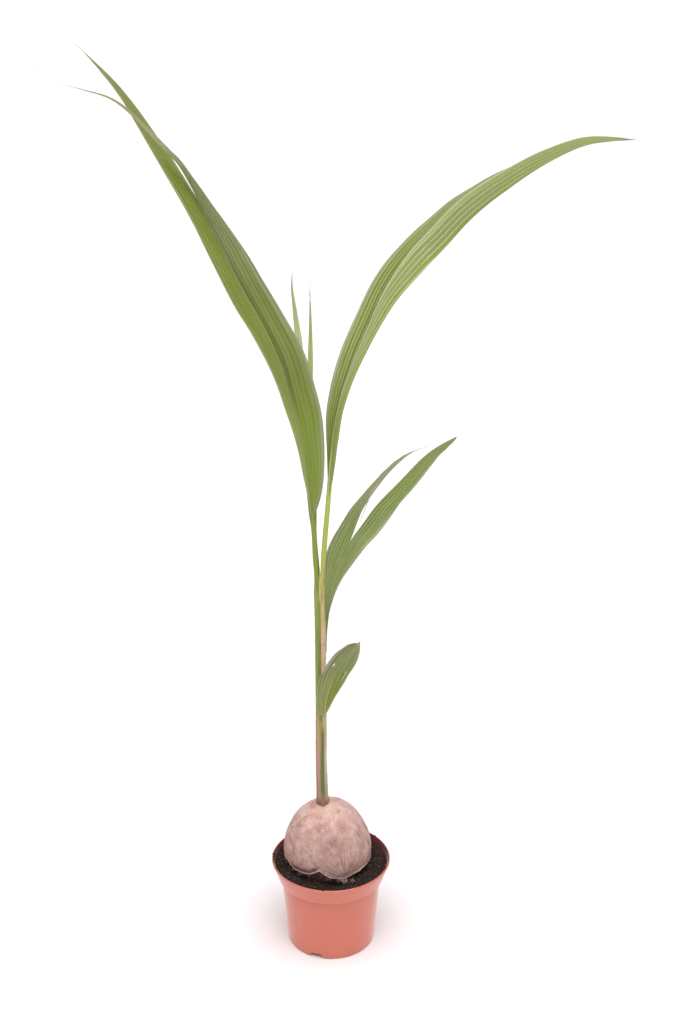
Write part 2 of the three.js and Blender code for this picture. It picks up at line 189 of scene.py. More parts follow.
def new_mesh(name, points, faces, values=None, uv=None):
    """A smooth-shaded mesh. values are named numbers, one or three for each point."""
    points = np.asarray(points, np.float32).reshape(-1, 3)
    mesh = bpy.data.meshes.new(name)
    mesh.vertices.add(len(points))
    mesh.vertices.foreach_set("co", points.ravel())
    mesh.loops.add(faces.size)
    mesh.loops.foreach_set("vertex_index", faces.astype(np.int32).ravel())
    mesh.polygons.add(len(faces))
    mesh.polygons.foreach_set("loop_start", np.arange(0, faces.size, faces.shape[1], dtype=np.int32))
    mesh.update(calc_edges=True)
    mesh.shade_smooth()
    for key, value in (values or {}).items():
        value = np.asarray(value, np.float32).ravel()
        kind, field = ("FLOAT", "value") if len(value) == len(points) else ("FLOAT_VECTOR", "vector")
        mesh.attributes.new(key, kind, "POINT").data.foreach_set(field, value)
    if uv is not None:
        mesh.uv_layers.new(name="OFBake").uv.foreach_set("vector", np.asarray(uv, np.float32).ravel())
    return mesh


def add_piece(mesh, material, replaces=()):
    """Adds a mesh as a piece of its own name."""
    piece = bpy.data.objects.new(mesh.name, mesh)
    bpy.context.scene.collection.objects.link(piece)
    mesh.materials.append(material)
    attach(piece, "root")
    if replaces:
        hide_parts(*replaces)


def ring_faces(rows, sides):
    """Quads of a closed tube of rings, with a cap at each end. sides is even."""
    row, column = np.meshgrid(np.arange(rows - 1), np.arange(sides), indexing="ij")
    a = row * sides + column
    b = row * sides + (column + 1) % sides
    wall = np.stack([a, b, b + sides, a + sides], -1).reshape(-1, 4)
    fan = np.array([[0, k + 2, k + 1, k] for k in range(1, sides - 1, 2)])
    return np.vstack([wall, fan, fan[:, ::-1] + (rows - 1) * sides])


def limb(line, share, upwards, reach):
    """A limb's (points, faces) along a line. reach is its radius for each share of the line's
    length (rows) and each angle round it (columns), from its right side up over its top."""
    rows, sides = reach.shape
    along = line.along(share)
    above = unit(upwards - (upwards * along).sum(-1, keepdims=True) * along)
    right = np.cross(along, above)
    turn = np.linspace(0, 2 * np.pi, sides, endpoint=False)[None, :, None]
    ring = right[:, None] * np.cos(turn) + above[:, None] * np.sin(turn)
    points = line.at(share)[:, None] + ring * reach[..., None]
    return points.reshape(-1, 3), ring_faces(rows, sides)[:, ::-1]


def strand(points, radii, step):
    """A thin hair through some points, as (points, faces, share of its length at each point)."""
    sides = 6
    line = Line(spline(points))
    share = np.linspace(0, 1, max(int(line.length / step), 8))
    radius = np.interp(share, np.linspace(0, 1, len(radii)), radii)
    tube, faces = limb(line, share, np.array([0.2, -0.9, 0.4]), np.tile(radius[:, None], sides))
    return tube, faces, np.repeat(share, sides)


def add_strands(name, strands, material):
    """Adds one piece that is made of strands."""
    points, faces, shares = zip(*strands)
    starts = np.cumsum([0] + [len(part) for part in points])
    faces = [part + start for part, start in zip(faces, starts)]
    mesh = new_mesh(name, np.vstack(points), np.vstack(faces), {"share": np.concatenate(shares)})
    add_piece(mesh, material)


# ---------------------------------------------------------------- materials


class Nodes:
    """A node tree under construction. Each method but feed adds nodes and returns the socket
    of their result."""

    def __init__(self, tree):
        self.tree = tree

    def feed(self, socket, value):
        """Gives a socket another's result, a number, a vector, or a colour as three numbers."""
        if isinstance(value, bpy.types.NodeSocket):
            self.tree.links.new(value, socket)
        elif socket.type == "RGBA":
            socket.default_value = (*value, 1.0)
        else:
            socket.default_value = value

    def node(self, kind, output, inputs, **settings):
        made = self.tree.nodes.new("ShaderNode" + kind)
        for key, value in settings.items():
            setattr(made, key, value)
        for key, value in inputs.items():
            self.feed(made.inputs[key], value)
        return made.outputs[output]

    def place(self):
        return self.node("TexCoord", "Object", {})

    def height(self):
        return self.node("SeparateXYZ", "Z", {"Vector": self.place()})

    def value(self, name):
        """A number that the mesh carries."""
        return self.node("Attribute", "Fac", {}, attribute_name=name)

    def parts(self, name):
        """The three numbers of a vector that the mesh carries."""
        return self.split(self.node("Attribute", "Vector", {}, attribute_name=name))

    def split(self, vector):
        return [self.node("SeparateXYZ", axis, {"Vector": vector}) for axis in "XYZ"]

    def vector(self, x, y, z):
        return self.node("CombineXYZ", "Vector", {"X": x, "Y": y, "Z": z})

    def math(self, operation, a, b=0.0):
        return self.node("Math", "Value", {0: a, 1: b}, operation=operation)

    def times(self, a, b):
        return self.math("MULTIPLY", a, b)

    def stretched(self, vector, scale):
        return self.node("Mapping", "Vector", {"Vector": vector, "Scale": scale})

    def noise(self, vector, scale, detail=3.0, roughness=0.55):
        inputs = {"Vector": vector, "Scale": scale, "Detail": detail, "Roughness": roughness}
        return self.node("TexNoise", "Fac", inputs)

    def spots(self, vector, scale):
        """The distance to the nearest of a scatter of points."""
        return self.node("TexVoronoi", "Distance", {"Vector": vector, "Scale": scale})

    def step(self, value, low, high, bottom=0.0, top=1.0):
        """A soft step, from bottom where value is at low to top where it is at high."""
        inputs = {"Value": value, "From Min": low, "From Max": high, "To Min": bottom, "To Max": top}
        return self.node("MapRange", "Result", inputs, interpolation_type="SMOOTHSTEP")

    def blend(self, share, a, b, kind="MIX"):
        inputs = {0: share, 6: a, 7: b}
        return self.node("Mix", 2, inputs, data_type="RGBA", blend_type=kind)

    def tint(self, share, colour, factor):
        """The colour multiplied by another, by a share."""
        return self.blend(share, colour, factor, "MULTIPLY")

    def layers(self, colour, *rows):
        """The colour under others in turn. Each is a value, the levels between which the other
        comes in, its strength, and its colour."""
        for value, low, high, strength, over in rows:
            colour = self.blend(self.step(value, low, high, 0.0, strength), colour, over)
        return colour

    def tints(self, colour, *rows):
        """The colour multiplied by others in turn, in rows like those of layers."""
        for value, low, high, strength, factor in rows:
            colour = self.tint(self.step(value, low, high, 0.0, strength), colour, factor)
        return colour

    def bump(self, height, distance, normal=None):
        inputs = {"Height": height, "Distance": distance, "Strength": 1.0}
        if normal is not None:
            inputs["Normal"] = normal
        return self.node("Bump", "Normal", inputs)


class Surface(Nodes):
    """A material under construction, round one Principled shader."""

    def __init__(self, name):
        self.material = bpy.data.materials.new(name)
        self.material.use_nodes = True
        super().__init__(self.material.node_tree)
        self.shader = self.tree.nodes["Principled BSDF"]

    def finish(self, colour, roughness, normal=None, **constants):
        self.feed(self.shader.inputs["Base Color"], colour)
        self.feed(self.shader.inputs["Roughness"], roughness)
        if normal is not None:
            self.feed(self.shader.inputs["Normal"], normal)
        for name, value in constants.items():
            socket = name.replace("_", " ").title().replace("Ior", "IOR")
            self.shader.inputs[socket].default_value = value
        return self.material


def pot_material():
    s = Surface("terracotta_plastic")
    place = s.place()
    height = s.height()
    inside = s.value("inside")
    cloud = s.noise(place, 22.0, 2.0)
    fine = s.noise(s.stretched(place, (1.0, 1.0, 5.0)), 260.0, 3.0)
    colour = s.blend(cloud, (0.585, 0.15, 0.098), (0.635, 0.172, 0.114))
    colour = s.blend(s.step(fine, 0.55, 0.8, 0.0, 0.35), colour, (0.5, 0.125, 0.082))
    # Pale chalky bloom in patches, and a film of peat dust on the inner wall and under the rim.
    bloom = s.step(s.noise(s.stretched(place, (1.0, 1.0, 0.4)), 60.0, 5.0), 0.62, 0.78, 0.0, 0.35)
    colour = s.blend(bloom, colour, (0.68, 0.28, 0.21))
    foot = s.times(s.step(height, 0.012, 0.0), s.step(s.noise(place, 90.0, 5.0), 0.4, 0.65))
    colour = s.blend(s.times(foot, 0.45), colour, (0.34, 0.12, 0.085))
    peat = s.times(inside, s.step(s.noise(place, 160.0, 5.0), 0.38, 0.66))
    colour = s.blend(s.times(peat, 0.75), colour, (0.055, 0.028, 0.022))
    # Painted shade: the whole inner wall is darkened to a deep maroon, as it lies in the pot's shadow.
    colour = s.blend(s.times(inside, 0.88), colour, (0.125, 0.016, 0.028))
    rough = s.step(s.noise(place, 130.0, 4.0), 0.3, 0.7, 0.3, 0.42)
    grain = s.noise(place, 1900.0, 2.0)
    ripple = s.noise(s.stretched(place, (1.0, 1.0, 9.0)), 34.0, 2.0)
    normal = s.bump(ripple, 0.00035, s.bump(grain, 0.00002))
    sheen = {"sheen_weight": 0.5, "sheen_roughness": 0.35}
    return s.finish(colour, rough, normal, specular_ior_level=0.5, **sheen)


def peat_material(name, dark, light):
    s = Surface(name)
    place = s.place()
    shade = s.noise(place, 420.0, 5.0, 0.65)
    patch = s.noise(place, 45.0, 3.0)
    colour = s.blend(s.step(shade, 0.35, 0.75), dark, light)
    colour = s.blend(s.step(patch, 0.45, 0.7, 0.0, 0.5), colour, dark)
    rough = s.step(shade, 0.3, 0.7, 0.8, 1.0)
    normal = s.bump(s.noise(place, 1500.0, 4.0, 0.7), 0.0004)
    return s.finish(colour, rough, normal, specular_ior_level=0.3)


def husk_material():
    s = Surface("dry_husk")
    place = s.place()
    around_x, around_y, reach = s.parts("ray")
    torn, rim, streak = s.parts("zones")
    x, y, z = s.split(place)
    rays = s.noise(s.vector(around_x, around_y, s.times(reach, 2.2)), 11.0, 4.0, 0.6)
    hairs = s.noise(s.vector(around_x, around_y, s.times(reach, 2.0)), 40.0, 2.0, 0.6)
    mottle = s.noise(place, 75.0, 6.0, 0.62)
    blotch = s.noise(place, 24.0, 3.0)
    speck = s.spots(place, 420.0)
    colour = s.blend(s.step(mottle, 0.36, 0.64), (0.44, 0.268, 0.232), (0.61, 0.402, 0.36))
    colour = s.blend(s.step(blotch, 0.42, 0.66, 0.0, 0.45), colour, (0.62, 0.365, 0.325))
    grey = s.step(s.noise(s.stretched(place, (1.0, 1.0, 0.7)), 38.0, 5.0, 0.7), 0.52, 0.68, 0.0, 0.55)
    colour = s.blend(grey, colour, (0.4, 0.3, 0.265))
    stain = s.step(s.noise(place, 130.0, 5.0, 0.7), 0.6, 0.74, 0.0, 0.5)
    colour = s.blend(stain, colour, (0.42, 0.22, 0.165))
    rust = s.noise(place, 58.0, 5.0, 0.62)
    colour = s.tint(s.step(rust, 0.52, 0.64, 0.0, 0.7), colour, (0.74, 0.6, 0.56))
    wash = s.noise(s.vector(y, z, x), 105.0, 4.0, 0.65)
    colour = s.tint(s.step(wash, 0.56, 0.7, 0.0, 0.55), colour, (0.72, 0.7, 0.72))
    dark = s.times(s.step(speck, 0.16, 0.06), s.step(mottle, 0.5, 0.62))
    colour = s.blend(s.times(dark, 0.7), colour, (0.16, 0.1, 0.085))
    # Fine dark and pale streaks that run out from the nut's eye end.
    lines = s.times(streak, s.step(rays, 0.45, 0.59))
    colour = s.blend(s.times(lines, 0.86), colour, (0.25, 0.18, 0.16))
    wisps = s.times(streak, s.step(hairs, 0.56, 0.7))
    colour = s.blend(s.times(wisps, 0.6), colour, (0.72, 0.58, 0.5))
    # Brown stains, and one broad painted shade on the middle of the nut's front.
    for centre, size, strength, tint in STAINS_AND_SHADE:
        away = [s.math("SUBTRACT", axis, value) for axis, value in zip((x, y, z), centre)]
        square = [s.times(value, value) for value in away]
        away = s.math("ADD", s.math("ADD", square[0], square[1]), square[2])
        ragged = s.math("ADD", away, s.times(s.math("SUBTRACT", wash, 0.5), size**2 * 1.6))
        colour = s.tint(s.step(ragged, size**2, 0.0, 0.0, strength), colour, tint)
    # Painted light and shade: lighter on top, where the light falls, and darker towards the soil.
    height = s.math("ADD", z, s.times(s.noise(place, 30.0, 3.0), 0.02))
    colour = s.tints(
        colour,
        (height, 0.215, 0.252, 0.9, (1.3, 1.36, 1.36)),
        (height, 0.215, 0.168, 0.9, (0.72, 0.66, 0.65)),
    )
    chipped = s.times(rim, s.step(s.noise(place, 150.0, 4.0, 0.65), 0.36, 0.56, 0.15, 0.85))
    colour = s.blend(chipped, colour, (0.62, 0.5, 0.45))
    # Painted shadow: a dark band just above the torn edge at the lower left, where the skin turns
    # under.
    shade = s.times(s.value("tear_shadow"), s.step(rays, 0.25, 0.5, 0.5, 0.9))
    colour = s.blend(shade, colour, (0.09, 0.052, 0.056))
    # Painted shade over the husk's own dark colour: the exposed husk under the torn skin and inside the
    # fissure is darkened almost to black.
    colour = s.blend(torn, colour, (0.09, 0.04, 0.042))
    rough = s.step(mottle, 0.3, 0.7, 0.72, 0.9)
    relief = s.math("ADD", s.times(hairs, 0.5), s.noise(place, 700.0, 4.0, 0.65))
    normal = s.bump(relief, 0.00035, s.bump(mottle, 0.0006))
    return s.finish(colour, rough, normal, specular_ior_level=0.25)


def sheath_material():
    """The stem: green stalk on one side, dry tan sheath on the other, brown at its foot."""
    s = Surface("leaf_sheath")
    x, y, z = s.parts("stalk")
    green, foot, edge = s.parts("zones")
    height = s.height()
    fibre = s.noise(s.vector(x, y, s.times(z, 0.035)), 1500.0, 3.0, 0.6)
    streak = s.noise(s.vector(x, y, s.times(z, 0.06)), 520.0, 3.0)
    patch = s.noise(s.vector(x, y, s.times(z, 0.5)), 110.0, 3.0)
    # Reddish low down, then yellow, a pinkish tan, and yellow to green where it forks.
    tan = s.blend(s.step(height, 0.34, 0.37), (0.5, 0.31, 0.225), (0.43, 0.32, 0.145))
    tan = s.layers(
        tan,
        (height, 0.405, 0.435, 1.0, (0.8, 0.56, 0.39)),
        (height, 0.525, 0.57, 1.0, (0.56, 0.475, 0.215)),
        (height, 0.6, 0.665, 1.0, (0.44, 0.44, 0.105)),
    )
    grey = s.times(s.step(x, 0.001, 0.0045), s.step(height, 0.415, 0.4))
    tan = s.blend(s.times(grey, 0.8), tan, (0.53, 0.5, 0.33))
    tan = s.tints(
        tan,
        (height, 0.33, 0.27, 0.8, (0.78, 0.8, 0.76)),
        (streak, 0.52, 0.7, 0.6, (1.22, 1.24, 1.3)),
        (streak, 0.48, 0.3, 0.6, (0.74, 0.68, 0.64)),
        (patch, 0.45, 0.7, 0.6, (0.9, 0.78, 0.78)),
        (fibre, 0.58, 0.75, 0.6, (1.25, 1.28, 1.4)),
        (fibre, 0.42, 0.25, 0.6, (0.55, 0.48, 0.45)),
    )
    fresh = s.blend(s.step(streak, 0.3, 0.7), (0.205, 0.25, 0.048), (0.29, 0.345, 0.08))
    fresh = s.blend(s.step(fibre, 0.55, 0.8, 0.0, 0.5), fresh, (0.35, 0.38, 0.14))
    colour = s.blend(green, tan, fresh)
    colour = s.blend(s.times(edge, 0.85), colour, (0.3, 0.12, 0.095))
    brown = s.blend(s.step(fibre, 0.4, 0.65), (0.215, 0.1, 0.062), (0.36, 0.19, 0.125))
    colour = s.blend(foot, colour, brown)
    rough = s.blend(green, (0.75, 0.75, 0.75), (0.42, 0.42, 0.42))
    normal = s.bump(fibre, 0.0003, s.bump(streak, 0.0004))
    return s.finish(colour, rough, normal, specular_ior_level=0.3)


def midrib_material(name, look):
    """A leaf's stalk and midrib, finely grooved along its length."""
    s = Surface(name)
    x, y, z = s.parts("stalk")
    share, above = s.value("share"), s.value("above")
    groove = s.noise(s.vector(x, y, s.times(z, 0.03)), 1600.0, 2.0)
    patch = s.noise(s.vector(x, y, s.times(z, 0.4)), 130.0, 3.0)
    blade = s.step(share, *look["turn"])
    colour = s.blend(blade, look["stalk"], look["tip"])
    lower = s.times(blade, s.step(above, 0.1, -0.5))
    colour = s.blend(lower, colour, look["under"])
    # Where the stalk leaves its sheath it takes on the sheath's colour.
    if "sheathed" in look:
        sheathed, low, high = look["sheathed"]
        colour = s.blend(s.step(s.height(), high, low), colour, sheathed)
    colour = s.tints(
        colour,
        (groove, 0.45, 0.72, 0.6, (1.18, 1.16, 1.4)),
        (groove, 0.42, 0.25, 0.5, (0.74, 0.78, 0.7)),
        (patch, 0.5, 0.75, 0.5, (0.78, 0.8, 0.72)),
    )
    rough = s.step(patch, 0.3, 0.7, 0.4, 0.52)
    normal = s.bump(groove, 0.00015)
    return s.finish(colour, rough, normal, specular_ior_level=0.28)


def lamina_material(name, look):
    """A half blade: pale veins on its pleats, a band beside the rib and another along the margin, with
    painted shade, highlight and sheen in places.
    """
    s = Surface(name)
    share, over, phase = s.parts("lamina")
    outer, run, above = s.parts("edges")
    streak = s.noise(s.vector(s.times(phase, 7.0), s.times(run, 6.0), above), 1.0, 4.0, 0.6)
    fine = s.noise(s.vector(s.times(phase, 34.0), s.times(run, 20.0), above), 1.0, 2.0)
    patch = s.noise(s.vector(s.times(phase, 0.8), s.times(run, 11.0), 0.0), 1.0, 3.0)
    tone = s.step(s.math("ADD", s.times(streak, 0.6), s.times(patch, 0.4)), 0.38, 0.62)
    low, high = s.blend(tone, *look["low"]), s.blend(tone, *look["high"])
    colour = s.blend(s.step(share, *look["turn"]), low, high)
    # A band beside the rib, and another along the margin.
    # Painted shade in the fold where this band is dark, as on leaf 3's right half and leaf 4's left
    # half, and a painted reflection where it is grey, as on leaf 3's left half.
    band, band_reach, band_strength, born, full = look["band"]
    beside = s.times(s.step(over, band_reach, band_reach * 0.4), s.step(share, born, full))
    colour = s.blend(s.times(beside, band_strength), colour, band)
    # Mostly a painted sheen: the margin band is pale grey where the margin turns away and reflects the
    # bright surroundings.
    veil, veil_reach, veil_strength = look["veil"]
    margin_band = s.step(outer, veil_reach, veil_reach * 0.3, 0.0, veil_strength)
    if "veil_from" in look:
        margin_band = s.times(margin_band, s.step(share, *look["veil_from"]))
    colour = s.blend(margin_band, colour, veil)
    # Every pleat has a darker flank of painted shade, a pale vein on its crest widened with painted
    # highlight, and a weaker vein in its valley.
    across = s.math("FRACT", phase)
    flank = s.times(s.step(across, 0.42, 0.66), s.step(across, 1.0, 0.84))
    colour = s.tint(s.times(flank, look["flank"]), colour, (0.62, 0.68, 0.5))
    vein, vein_strength, vein_reach = look["vein"]
    fold = s.math("PINGPONG", phase, 0.5)
    crest = s.step(fold, vein_reach, 0.04)
    valley = s.times(s.step(fold, 0.41, 0.48), 0.28)
    broken = s.step(s.noise(s.vector(phase, s.times(run, 16.0), 5.0), 1.3, 3.0), 0.3, 0.55, 0.45, 1.0)
    veins = s.times(s.math("MAXIMUM", crest, valley), broken)
    colour = s.blend(s.times(veins, vein_strength), colour, vein)
    colour = s.tints(
        colour,
        (fine, 0.54, 0.72, 0.22, (1.2, 1.16, 1.45)),
        (fine, 0.46, 0.28, 0.22, (0.74, 0.8, 0.62)),
    )
    # The lower face is a little paler and duller than the upper one.
    colour = s.tint(s.step(above, 0.5, 0.4, 0.0, 0.3), colour, (1.1, 1.05, 1.35))
    fade, faded = look.get("fade", (0.7, 0.95))
    colour = s.blend(s.step(share, fade, faded, 0.0, 0.7), colour, look["tip"])
    # Painted shade: the turned face of a rolled margin is painted grey-brown.
    if "turned" in look:
        greys, place, start = look["turned"]
        rolled = s.times(s.step(over, place - 0.03, place + 0.03), s.step(share, start, start + 0.12))
        colour = s.blend(s.times(rolled, 0.85), colour, s.blend(fine, *greys))
    margin = s.step(outer, 0.001, 0.0002, 0.0, 0.8)
    colour = s.blend(margin, colour, (0.4, 0.32, 0.2))
    stain = s.noise(s.vector(phase, s.times(run, 60.0), 3.0), 2.2, 4.0)
    colour = s.layers(
        colour,
        (stain, 0.68, 0.78, 0.5, (0.25, 0.2, 0.09)),
        (share, 0.955, 1.0, 0.9, (0.3, 0.22, 0.16)),
    )
    rough = s.step(streak, 0.3, 0.7, 0.4, 0.54)
    normal = s.bump(streak, 0.00016, s.bump(fine, 0.00007))
    return s.finish(colour, rough, normal, specular_ior_level=0.28)


def hair_material(name, root_colour, tip_colour):
    s = Surface(name)
    share = s.value("share")
    grain = s.noise(s.place(), 900.0, 2.0)
    colour = s.blend(s.step(share, 0.0, 0.6), root_colour, tip_colour)
    colour = s.blend(s.step(grain, 0.4, 0.7, 0.0, 0.4), colour, (0.3, 0.2, 0.13))
    return s.finish(colour, s.step(grain, 0.3, 0.7, 0.6, 0.8), s.bump(grain, 0.00005))


# ---------------------------------------------------------------- pot


def filleted(corners):
    """A smooth profile from (radius, height, fillet) corners, with points no more than 3 mm apart."""
    fillet_steps, reach = 6, 0.003
    p = np.array([corner[:2] for corner in corners], float)
    rounded = [p[0]]
    for k in range(1, len(p) - 1):
        before, after = p[k - 1] - p[k], p[k + 1] - p[k]
        cut_in = min(corners[k][2], 0.45 * np.linalg.norm(before))
        cut_out = min(corners[k][2], 0.45 * np.linalg.norm(after))
        start, end = p[k] + unit(before) * cut_in, p[k] + unit(after) * cut_out
        for t in np.linspace(0, 1, fillet_steps):
            rounded.append((1 - t) ** 2 * start + 2 * t * (1 - t) * p[k] + t**2 * end)
    rounded.append(p[-1])
    profile = [rounded[0]]
    for a, b in zip(rounded, rounded[1:]):
        pieces = max(int(np.ceil(np.linalg.norm(b - a) / reach)), 1)
        profile.extend(a + (b - a) * k / pieces for k in range(1, pieces + 1))
    return np.array(profile)


def revolved(profile, segments):
    """A body turned from (radius, height) pairs, as rings of points: rows, segments, xyz."""
    turn = np.linspace(0, 2 * np.pi, segments, endpoint=False)
    radius, height = profile[:, 0][:, None], profile[:, 1][:, None]
    return polar(radius, turn, height)


def build_pot():
    segments, hub = 336, 0.002
    collar_top = POT_HEIGHT - 0.0035
    inner_rim = RIM_RADIUS - 0.0034
    heel = BASE_RADIUS - NOTCH_DEPTH
    outside = [
        (hub, 0.0006, 0),
        (heel - 0.003, 0.0006, 0.0005),
        (heel - 0.0012, 0.0, 0.0004),
        (heel, 0.0, 0.0002),
        (heel + 0.0001, 0.0, 0.0),
        (BASE_RADIUS - 0.0004, 0.0, 0.0042),
        (BASE_RADIUS + 0.0003, 0.012, 0.004),
        (WALL_TOP_RADIUS - 0.0002, COLLAR_FOOT_HEIGHT - 0.0035, 0.0022),
        (WALL_TOP_RADIUS + 0.0022, COLLAR_FOOT_HEIGHT - 0.0012, 0.0012),
        (COLLAR_FOOT_RADIUS - 0.001, COLLAR_FOOT_HEIGHT - 0.0004, 0.001),
        (COLLAR_FOOT_RADIUS + 0.0001, COLLAR_FOOT_HEIGHT + 0.0022, 0.0016),
        (RIM_RADIUS - 0.0016, collar_top, 0.0009),
        (RIM_RADIUS - 0.0002, collar_top + 0.0007, 0.0007),
        (RIM_RADIUS - 0.0001, POT_HEIGHT - 0.001, 0.001),
        (RIM_RADIUS - 0.0012, POT_HEIGHT, 0.0009),
        (inner_rim + 0.0007, POT_HEIGHT, 0.0008),
    ]
    inside = [
        (inner_rim, POT_HEIGHT - 0.0018, 0.0008),
        (COLLAR_FOOT_RADIUS - POT_WALL, COLLAR_FOOT_HEIGHT + 0.002, 0.002),
        (WALL_TOP_RADIUS - POT_WALL, COLLAR_FOOT_HEIGHT - 0.002, 0.002),
        (BASE_RADIUS - POT_WALL - 0.001, FOOT_STEP_HEIGHT + 0.001, 0.002),
        (heel - 0.003, FOOT_STEP_HEIGHT, 0.002),
        (heel - 0.011, FLOOR_THICKNESS, 0.002),
        (hub, FLOOR_THICKNESS, 0),
    ]
    profile = filleted(outside + inside)
    rings = revolved(profile, segments)
    top_row = profile[:, 1].argmax()
    inner = np.arange(len(profile)) > top_row
    lift_notches(rings, profile, heel, inner)
    # Moulded plastic is never quite true: the wall wanders by a fraction of a millimetre.
    flat = rings.reshape(-1, 3)
    wander = noise(flat * np.array([16, 16, 9]) + 40, 11) * 0.00022
    radial = unit(flat * np.array([1, 1, 0]))
    flat = flat + radial * (wander * smooth(flat[:, 2], 0.004, 0.03))[:, None]
    values = {"inside": np.repeat(inner.astype(float), segments)}
    mesh = new_mesh("pot_shell", flat, ring_faces(len(profile), segments), values)
    add_piece(mesh, pot_material(), ["pot"])


def lift_notches(rings, profile, heel, inner):
    """Raises the foot into a drain notch at even places round the pot."""
    blend_height, side = 0.0125, 0.003
    apart = 360 / NOTCH_COUNT
    angle = np.degrees(np.arctan2(rings[0, :, 1], rings[0, :, 0])) - FIRST_NOTCH_ANGLE
    across = np.radians(np.abs((angle + apart / 2) % apart - apart / 2)) * BASE_RADIUS
    arch = NOTCH_HEIGHT * smooth(across, NOTCH_WIDTH / 2, NOTCH_WIDTH / 2 - side)
    for row, (radius, height) in enumerate(profile):
        if inner[row] or radius <= heel or height > blend_height:
            continue
        rings[row, :, 2] = arch + height * (blend_height - arch) / blend_height


# ---------------------------------------------------------------- soil


def soil_height(x, y):
    """The height of the soil's surface: broad lumps, clods and grains."""
    flat = triple(x, y, 0)
    u, v = x / RIM_RADIUS, y / RIM_RADIUS
    lump = np.sin(5.1 * u + 1.3) * np.cos(4.3 * v - 0.4) + 0.5 * np.sin(9 * u - 7 * v)
    clods = 0.0013 * noise(flat * 75 + 9, 21) + 0.0009 * noise(flat * 190 + 5, 22)
    grains = 0.0006 * noise(flat * 430 + 3, 23)
    return SOIL_LEVEL + 0.001 + 0.0016 * lump + clods + grains


def build_soil():
    segments, rows = 360, 92
    edge = SOIL_EDGE_RADIUS - 0.0002
    radius = np.concatenate([np.linspace(0.001, 0.05, 8), np.linspace(0.051, edge, rows)])
    top = revolved(np.stack([radius, 0 * radius], -1), segments)
    top[..., 2] = soil_height(top[..., 0], top[..., 1])
    foot = np.array([
        (WALL_TOP_RADIUS - POT_WALL - 0.0008, COLLAR_FOOT_HEIGHT - 0.004),
        (BASE_RADIUS - POT_WALL - 0.002, FOOT_STEP_HEIGHT + 0.002),
        (0.001, FOOT_STEP_HEIGHT + 0.002),
    ])
    rings = np.concatenate([top, revolved(foot, segments)])
    mesh = new_mesh("soil_bed", rings, ring_faces(len(rings), segments)[:, ::-1])
    peat = peat_material("damp_peat", (0.012, 0.0075, 0.0065), (0.052, 0.03, 0.023))
    add_piece(mesh, peat, ["soil"])
    build_litter()


def lumps(centres, sizes, rng, flatness=0.75):
    """Small angular lumps, each a crumpled icosahedron, as (points, faces)."""
    golden = (1 + 5**0.5) / 2
    corners = []
    for a, b in itertools.product((-1, 1), (-golden, golden)):
        corners += [(0, a, b), (a, b, 0), (b, 0, a)]
    corners = unit(np.array(corners, float))
    near = np.linalg.norm(corners[:, None] - corners[None], axis=-1) < 1.2
    faces = []
    for i, j, k in itertools.combinations(range(12), 3):
        if near[i, j] and near[j, k] and near[i, k]:
            outward = np.cross(corners[j] - corners[i], corners[k] - corners[i]) @ corners[i]
            faces.append((i, j, k) if outward > 0 else (i, k, j))
    count = len(centres)
    shape = corners[None] * (1 + 0.38 * rng.uniform(-1, 1, (count, 12, 1)))
    shape = shape * rng.uniform(0.6, 1.25, (count, 1, 3)) * np.array([1, 1, flatness])
    turn = rng.uniform(0, 2 * np.pi, (count, 1))
    x = shape[..., 0] * np.cos(turn) - shape[..., 1] * np.sin(turn)
    y = shape[..., 0] * np.sin(turn) + shape[..., 1] * np.cos(turn)
    points = triple(x, y, shape[..., 2]) * sizes[:, None, None] + centres[:, None]
    offsets = (np.arange(count) * 12)[:, None, None]
    return points.reshape(-1, 3), (np.array(faces)[None] + offsets).reshape(-1, 3)


def on_soil(count, rng, lift):
    """Random places a little above the soil, between the nut and the pot."""
    inner, outer = 0.06, SOIL_EDGE_RADIUS - 0.001
    radius = np.sqrt(rng.uniform(inner**2, outer**2, count))
    turn = rng.uniform(0, 2 * np.pi, count)
    x, y = radius * np.cos(turn), radius * np.sin(turn)
    return triple(x, y, soil_height(x, y) + lift)


def add_lumps(name, centres, sizes, rng, material):
    mesh = new_mesh(name, *lumps(centres, sizes, rng))
    mesh.shade_flat()
    add_piece(mesh, material)


def build_litter():
    """Crumbs of peat, some of them spilled on the rim, pale grit, and loose fibres."""
    rng = np.random.default_rng(31)
    places = on_soil(5200, rng, 0.0001)
    sizes = 0.00045 + 0.0016 * rng.uniform(0, 1, len(places)) ** 3.2
    for angle, count in ((183, 16), (176, 10), (-97, 7), (-60, 3), (40, 4), (110, 5)):
        turn = np.radians(angle + rng.normal(0, 3.5, count))
        radius = rng.uniform(RIM_RADIUS - 0.0045, RIM_RADIUS - 0.0008, count)
        places = np.vstack([places, polar(radius, turn, POT_HEIGHT + 0.0002)])
        sizes = np.concatenate([sizes, rng.uniform(0.0005, 0.0014, count)])
    crumb = peat_material("peat_crumb", (0.014, 0.009, 0.007), (0.075, 0.042, 0.03))
    add_lumps("soil_crumbs", places, sizes, rng, crumb)

    places = on_soil(170, rng, 0.0006)
    sizes = rng.uniform(0.00025, 0.00075, len(places))
    grit = peat_material("pale_grit", (0.3, 0.25, 0.22), (0.62, 0.55, 0.5))
    add_lumps("soil_grit", places, sizes, rng, grit)

    strands = []
    for place in on_soil(210, rng, 0.0008):
        turn = rng.uniform(0, 2 * np.pi)
        reach = rng.uniform(0.002, 0.0075)
        heading = polar(1, turn, 0) * reach
        side = polar(1, turn + np.pi / 2, 0) * reach
        bow = side * rng.uniform(-0.3, 0.3) + UP * rng.uniform(0, 0.25) * reach
        points = [place - heading, place + bow, place + heading]
        strands.append(strand(points, [0.00008, 0.00018, 0.00006], 0.0012))
    fibre = hair_material("peat_fibre", (0.085, 0.045, 0.03), (0.2, 0.12, 0.075))
    add_strands("soil_fibres", strands, fibre)


# ---------------------------------------------------------------- nut

